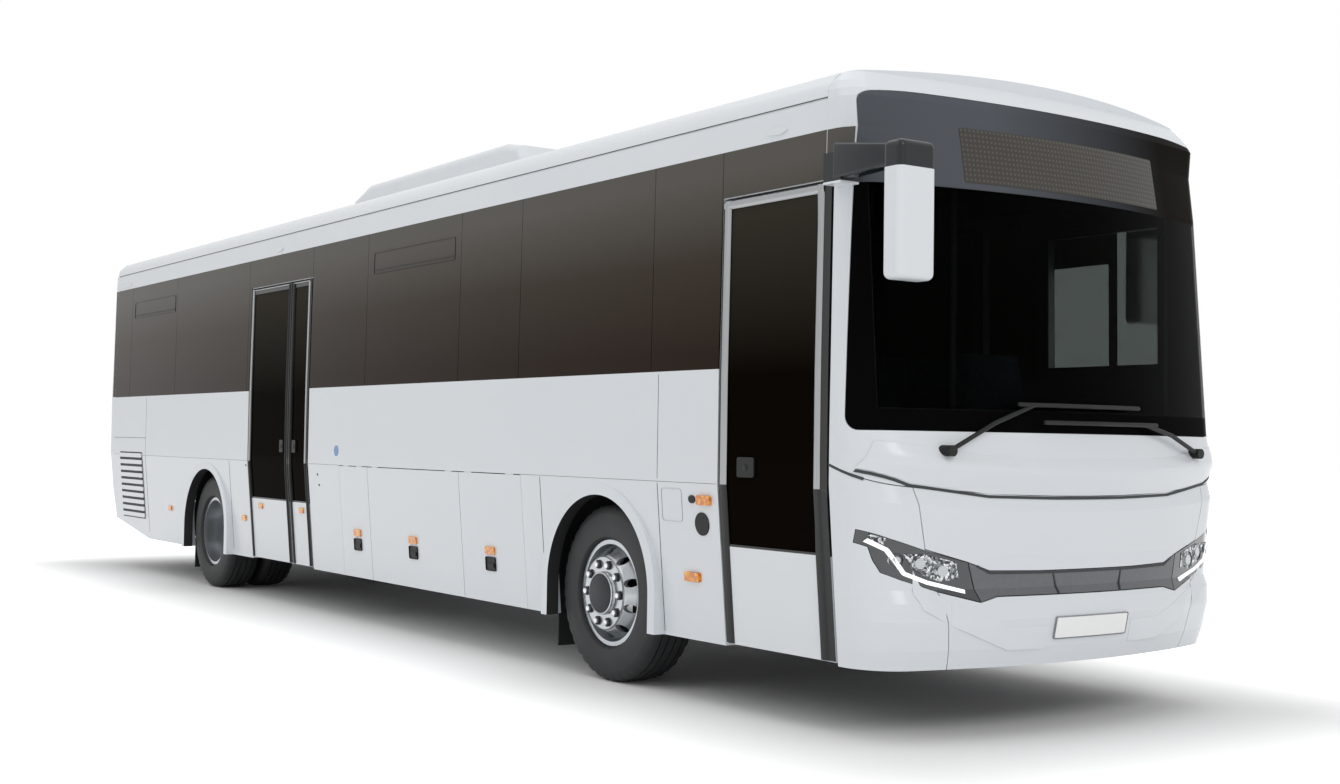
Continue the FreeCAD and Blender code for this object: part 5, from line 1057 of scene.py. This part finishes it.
# Cabin

FLOOR_HIGH = 0.86
POLES = ((1.05, -0.52), (2.02, -0.50), (-4.10, -0.50), (-5.56, -0.50))
RAIL_HIGH = 2.62
LINING_LOW = 0.9
RACKS = ((0.72, 1.19, 2.70, 2.73, 0.01), (0.70, 0.735, 2.68, 2.80, 0.012))


def cushion(low, high, swell):
    """A crowned pad: rounded edges, sides that pull in and a top that swells between its seams."""
    part = rounded_box(low, high, 0.03, 3)
    bmesh.ops.subdivide_edges(part, edges=[edge for edge in part.edges if edge.calc_length() > 0.12], cuts=4,
                              use_grid_fill=True)
    middle, span = (low + high) / 2, (high - low) / 2
    thin = min((X, Y, Z), key=lambda axis: span[axis])
    wide = [axis for axis in (X, Y, Z) if axis != thin]
    for vertex in part.verts:
        shares = [max(0, 1 - ((vertex.co[axis] - middle[axis]) / span[axis]) ** 2) for axis in wide]
        if vertex.co[thin] > middle[thin]:
            vertex.co[thin] -= swell * (1 - shares[0] * shares[1])
    return part


def seat(pads, frames, low, high):
    """One seat in the space that its CAD solid holds: pads on a dark rail."""
    left, right = low.y + 0.01, high.y - 0.01
    foot, front, back = low.z + 0.305, high.x, high.x - 0.43
    rest = cushion(Vector((-0.07, left, 0.06)), Vector((0.03, right, high.z - foot - 0.05)), 0.02)
    lean = Matrix.Rotation(-math.atan2(0.14, high.z - foot), 4, "Y")
    bmesh.ops.transform(rest, matrix=Matrix.Translation((back + 0.02, 0, foot)) @ lean, verts=rest.verts[:])
    pads += [cushion(Vector((back + 0.03, left, foot + 0.02)), Vector((front - 0.005, right, foot + 0.12)), 0.018),
             rest]
    frames.append(rounded_box((back + 0.05, left + 0.02, foot - 0.012), (front - 0.04, right - 0.02, foot + 0.018),
                              0.006))


def pedestal(frames, low, high, near, far, radius):
    """The foot under a seat, from near to far across the coach."""
    frames.append(rounded_box((high.x - 0.36, near, low.z), (high.x - 0.07, far, low.z + 0.30), radius))


class COACH_OT_seats(bpy.types.Operator):
    """Passenger and driver's seats: crowned plush pads on dark frames"""
    bl_idname = "coach.seats"
    bl_label = "Seats"

    def execute(self, context):
        pads, frames = [], []
        for low, high in islands("passenger_seats"):
            middle = (low.y + high.y) / 2
            for near, far in ((low.y, middle), (middle, high.y)):
                seat(pads, frames, Vector((low.x, near, low.z)), Vector((high.x, far, high.z)))
            pedestal(frames, low, high, middle - 0.03, middle + 0.03, 0.008)
        self.finish("passenger_seat", "passenger_seats", "frames", pads, frames)
        pads, frames = [], []
        low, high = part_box("driver_seat")
        seat(pads, frames, low, high)
        pedestal(frames, low, high, low.y + 0.08, high.y - 0.08, 0.02)
        self.finish("driver_seat", "driver_seat", "frame", pads, frames)
        return {"FINISHED"}

    def finish(self, name, node, word, pads, frames):
        made = parts_piece(name + "_pads", pads, ("woven_plush_blue", "seat_fabric"))
        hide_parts(node)
        parts_piece(name + "_" + word, frames, BLACK)


class COACH_OT_cabin(bpy.types.Operator):
    """Handrails, driver's screen, instrument hood and luggage racks behind the glass"""
    bl_idname = "coach.cabin"
    bl_label = "Cabin"

    def execute(self, context):
        self.rails()
        racks = []
        for side in (RIGHT, LEFT):
            for inner, outer, foot, head, radius in RACKS:
                near, far = sorted((inner * side, outer * side))
                racks.append(rounded_box((station(-9.2), near, foot), (station(0.9), far, head), radius))
        parts_piece("luggage_racks", racks, ("vinyl_floor_grey", "dash_plastic"))
        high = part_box("dashboard")[1]
        hood = rounded_box((high.x - 0.20, 0.42, high.z - 0.03), (high.x - 0.03, 1.0, high.z + 0.07), 0.03, 3)
        screen = rounded_box((station(1.10), 0.38, FLOOR_HIGH + 0.002), (station(1.13), 1.16, 1.75), 0.01)
        parts_piece("instrument_hood", [hood, screen], ("dashboard_soft_skin", "dash_plastic"))
        self.lining()
        # Black rubber round the driver's clear window and its upright
        rims = [(side_panel(rear, front, 1.87, head, 0.06), 0.003, 0.04)
                for rear, front, head in ((1.05, 1.54, 2.46), (1.54, 1.925, 2.61))]
        bars = [(side_panel(*ends, 2.63), 0.002) for ends in ((1.05, 1.54, 2.43), (1.05, 1.10, 1.82),
                                                              (1.51, 1.57, 1.82), (1.89, 1.925, 1.82))]
        Skin(Y, LEFT, "glazing_left wall_left").fit("driver_window_frame", RUBBER, rims + bars)
        return {"FINISHED"}

    def rails(self):
        """Poles at the doors, and a rail on hangers over each side of the aisle."""
        parts = [bar([(station(along), across, FLOOR_HIGH + 0.002), (station(along), across, 2.75)], 0.016)
                 for along, across in POLES]
        for across in (-0.33, 0.33):
            parts.append(bar([(station(-7.7), across, RAIL_HIGH), (station(0.9), across, RAIL_HIGH)], 0.014))
            for number in range(7):
                along = station(-7.6 + number * 1.4)
                parts.append(bar([(along, across, RAIL_HIGH), (along, across, 3.05)], 0.010))
        parts_piece("grab_rails", parts, ("steel_tube_brushed", "arm_steel"))

    def lining(self):
        """Trim on every inner face of the shell, drawn from a merged copy of the frame's own meshes; its near-black
        grey is partly painted shade of the unlit cabin.
        """
        bm = bmesh.new()
        low, high = CAD_BOUNDS
        for name in ("wall_right", "wall_left", "roof_shell", "front_mask", "rear_mask"):
            part = bmesh.new()
            part.from_mesh(NODES[name].data)
            bmesh.ops.remove_doubles(part, verts=part.verts[:], dist=1e-5)
            part.normal_update()
            outer = []
            for face in part.faces:
                spot = face.calc_center_median()
                along = min(max(spot.x, low[X] + 2), high[X] - 2)
                inward = (Vector((along, 0, 1.9)) - spot).normalized()
                if face.normal.dot(inward) < 0.45 or spot.z < LINING_LOW:
                    outer.append(face)
            bmesh.ops.delete(part, geom=outer, context="FACES")
            for vertex in part.verts:
                vertex.co += vertex.normal * 0.0015
            join(bm, part)
        made = piece("cabin_lining", bm, ("lining_grey_and_painted_shade", "dash_plastic"))
        shell = made.modifiers.new("thickness", "SOLIDIFY")
        shell.thickness = MM
        shell.offset = 1


# Mirrors, roof and rear

class COACH_OT_mirrors(bpy.types.Operator):
    """Silvered glasses set into the mirror housings, and the right arm's moulded cover"""
    bl_idname = "coach.mirrors"
    bl_label = "Mirror glasses"

    def execute(self, context):
        for low, high in islands("mirrors"):
            if low.y < 0:
                self.arm_cover(low, high)
            side, word = SIDES[0] if low.y < 0 else SIDES[1]
            outer, front = (low.y, high.x - 0.12) if side == RIGHT else (high.y, low.x)
            near, far = sorted((outer - side * 0.03, outer - side * 0.19))
            glasses = [rounded_box((front - 0.004, near, foot), (front + 0.004, far, head), 0.002)
                       for foot, head in ((2.11, 2.36), (2.38, 2.56))]
            parts_piece("mirror_glass_" + word, glasses, ("mirror_silvered", "lamp_glass"))
        return {"FINISHED"}

    def arm_cover(self, low, high):
        """A moulded cover over the right arm: deep at the pillar and slimmer where it meets the cap."""
        part = bmesh.new()
        bmesh.ops.create_cube(part, size=1)
        for vertex in part.verts:
            front, upper = vertex.co.x > 0, vertex.co.z > 0
            vertex.co.x = high.x - 0.105 if front else low.x + 0.06
            vertex.co.y = low.y + (0.158 if vertex.co.y > 0 else 0.075)
            vertex.co.z = (2.688 if front else 2.752) if upper else (2.60 if front else 2.575)
        soften(part, part.edges[:], 0.016, 3)
        piece("mirror_arm_cover", part, ("gloss_plastic_slate", "black_plastic"))


class COACH_OT_roof(bpy.types.Operator):
    """Roof unit slots and escape hatches"""
    bl_idname = "coach.roof"
    bl_label = "Roof"

    def execute(self, context):
        skin = Skin(Z, 1, "roof_shell roof_unit front_mask rear_mask")
        rows = [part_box("roof_unit")[0].x + 0.7 + number * 0.14 for number in range(9)]
        skin.fit("roof_unit_slots", SEAM, [(panel(near, near + 0.05, across - 0.16, across + 0.16, 0.02), 0.002)
                                           for across in (-0.28, 0.28) for near in rows])
        skin.fit("roof_hatches", WHITE, [(side_spot(along, 0.38, -0.38, 0.38, 0.06), 0.035) for along in (-0.7, -6.9)])
        return {"FINISHED"}


# Fittings at the back: name, look, body, how far it stands out, and plates with their corner radius.
REAR_FITTINGS = (
    ("lid_louvres", SEAM, "engine_lid", 0.006,
     [(-0.55, 0.55, 1.10 + number * 0.055, 1.10 + number * 0.055 + 0.03, 0.01) for number in range(6)]),
    ("lid_latch", BLACK, "engine_lid", 0.01, [(-0.07, 0.07, 0.70, 0.75, 0.012)]),
    ("rear_plate_blank", BLANK, "engine_lid", 0.006, [(-0.26, 0.26, 0.84, 0.955, 0.01)]),
    ("reversing_lamps", CLEAR, "coach", 0.004, [(-1.11, -1.0, 0.92, 1.03, 0.015), (1.0, 1.11, 0.92, 1.03, 0.015)]),
    ("rear_indicators", AMBER, "coach", 0.004, [(-1.11, -1.0, 1.32, 1.46, 0.015), (1.0, 1.11, 1.32, 1.46, 0.015)]),
)


class COACH_OT_rear(bpy.types.Operator):
    """Rear lid louvres and latch, lamp lenses and blank plate"""
    bl_idname = "coach.rear"
    bl_label = "Rear"

    def execute(self, context):
        skin = Skin(X, -1, "rear_mask engine_lid tail_lamps rear_glass")
        for name, look, body, proud, panels in REAR_FITTINGS:
            skin.fit(name, look, [(panel(*corners), proud) for corners in panels], body)
        return {"FINISHED"}


# Stage

CAMERA_FROM_AXLE = (7.7226, -6.1854, 1.3619)
CAMERA_YAW, CAMERA_PITCH, CAMERA_ROLL = 144.996, 1.759, 0.848
FOCAL_PIXELS, PICTURE_WIDE, SENSOR = 1615.67, 1340, 36
# Half sizes of the zone round the coach where the floor has no glow: painted shade, which fades out over 1.7 m beyond
# it.
PAINTED_SHADE_REACH = (6.0, 1.2, 0)
# Each lamp: place from the coach's middle, watts and size.
SOFTBOXES = {"overhead_softbox": ((1, -1, 10.5), 300, 12), "front_softbox": ((15, -3, 7), 300, 5),
             "side_softbox": ((2, -13, 8), 200, 8)}


def seen_rays(tree):
    """1 for rays that show the surround: from the camera, off a glossy surface or through glass."""
    rays = add(tree, "LightPath", {}).node.outputs
    direct = add(tree, "Math", {0: rays["Is Camera Ray"], 1: rays["Is Transmission Ray"]}, operation="MAXIMUM")
    return add(tree, "Math", {0: direct, 1: rays["Is Glossy Ray"]}, operation="MAXIMUM")


class COACH_OT_stage(bpy.types.Operator):
    """Camera at the photograph's angle, pale floor, white surround and soft studio lamps"""
    bl_idname = "coach.stage"
    bl_label = "Stage"

    def execute(self, context):
        scene = context.scene
        scene.view_settings.view_transform = "Standard"
        self.camera(scene)
        self.world(scene)
        self.floor()
        self.lamps()
        return {"FINISHED"}

    def camera(self, scene):
        data = bpy.data.cameras.new("photo_camera")
        data.sensor_width = SENSOR
        data.lens = SENSOR * FOCAL_PIXELS / PICTURE_WIDE
        data.clip_end = 200
        scene.camera = shown("photo_camera", data)
        turns = ((CAMERA_YAW - 90, "Z"), (CAMERA_PITCH + 90, "X"), (CAMERA_ROLL, "Z"))
        yaw, pitch, roll = (Matrix.Rotation(math.radians(angle), 4, axis) for angle, axis in turns)
        place_of_lens = Vector((AXLE, 0, 0)) + Vector(CAMERA_FROM_AXLE)
        scene.camera.matrix_world = Matrix.Translation(place_of_lens) @ yaw @ pitch @ roll

    def world(self, scene):
        world = scene.world = bpy.data.worlds.new("white_surround")
        world.use_nodes = True
        tree = world.node_tree
        strength = add(tree, "MapRange", {"Value": seen_rays(tree), "To Min": 0.57, "To Max": 1.0})
        fill(tree, tree.nodes["Background"], {"Color": "FFFFFF", "Strength": strength})

    def floor(self):
        """A pale floor that keeps the coach's shadow and goes over into the white surround beyond it; near the coach
        its glow is held back, a painted shade round the coach.
        """
        tree = start("studio_floor_pale_with_painted_shade", "FFFFFF", 0.9)
        spots = add(tree, "VectorMath", {0: add(tree, "TexCoord", {}, "Object")}, operation="ABSOLUTE")
        beyond = add(tree, "VectorMath", {0: spots, 1: PAINTED_SHADE_REACH}, operation="SUBTRACT")
        outside = add(tree, "VectorMath", {0: beyond, 1: (0, 0, 0)}, operation="MAXIMUM")
        away = add(tree, "VectorMath", {0: outside}, "Value", operation="LENGTH")
        glow_beyond_painted_shade = add(tree, "MapRange", {"Value": away, "From Max": 1.7, "To Max": 0.7}, interpolation_type="SMOOTHSTEP")
        strength = add(tree, "Math", {0: seen_rays(tree), 1: glow_beyond_painted_shade}, operation="MULTIPLY")
        glow = add(tree, "Emission", {"Color": "FFFFFF", "Strength": strength})
        both = add(tree, "AddShader", {0: tree.nodes["Principled BSDF"].outputs[0], 1: glow})
        tree.links.new(both, tree.nodes["Material Output"].inputs["Surface"])
        bm = bmesh.new()
        bmesh.ops.create_grid(bm, x_segments=1, y_segments=1, size=90)
        mesh = bpy.data.meshes.new("studio_floor")
        bm.to_mesh(mesh)
        bm.free()
        mesh.materials.append(MADE["studio_floor_pale_with_painted_shade"])
        holder = shown("studio_floor", mesh)

    def lamps(self):
        middle = Vector((AXLE - 3, 0, 1.5))
        for name, (offset, power, size) in SOFTBOXES.items():
            data = bpy.data.lights.new(name, "AREA")
            data.energy = power
            data.size = size
            holder = shown(name, data)
            holder.location = middle + Vector(offset)
            holder.rotation_euler = (middle - holder.location).to_track_quat("-Z", "Y").to_euler()


OPERATORS = (COACH_OT_finishes, COACH_OT_side_trim, COACH_OT_door_trim, COACH_OT_front_trim, COACH_OT_tyres,
             COACH_OT_wheel_trim, COACH_OT_seats, COACH_OT_cabin, COACH_OT_mirrors, COACH_OT_roof, COACH_OT_rear,
             COACH_OT_stage)


class COACH_PT_panel(bpy.types.Panel):
    """Lists the coach's colours, sizes and steps"""
    bl_idname = "COACH_PT_panel"
    bl_label = "Coach"
    bl_space_type = "VIEW_3D"
    bl_region_type = "UI"
    bl_category = "Coach"

    def draw(self, context):
        for group in (context.scene.coach_colours, context.scene.coach_sizes):
            for name in group.__annotations__:
                self.layout.prop(group, name)
        for operator in OPERATORS:
            self.layout.operator(operator.bl_idname)


CLASSES = (CoachColours, CoachSizes) + OPERATORS + (COACH_PT_panel,)


def register():
    for item in CLASSES:
        bpy.utils.register_class(item)
    bpy.types.Scene.coach_colours = PointerProperty(type=CoachColours)
    bpy.types.Scene.coach_sizes = PointerProperty(type=CoachSizes)


def unregister():
    del bpy.types.Scene.coach_colours
    del bpy.types.Scene.coach_sizes
    for item in reversed(CLASSES):
        bpy.utils.unregister_class(item)


def main():
    register()
    for operator in OPERATORS:
        group, action = operator.bl_idname.split(".")
        getattr(getattr(bpy.ops, group), action)()


if __name__ == "__main__":
    main()
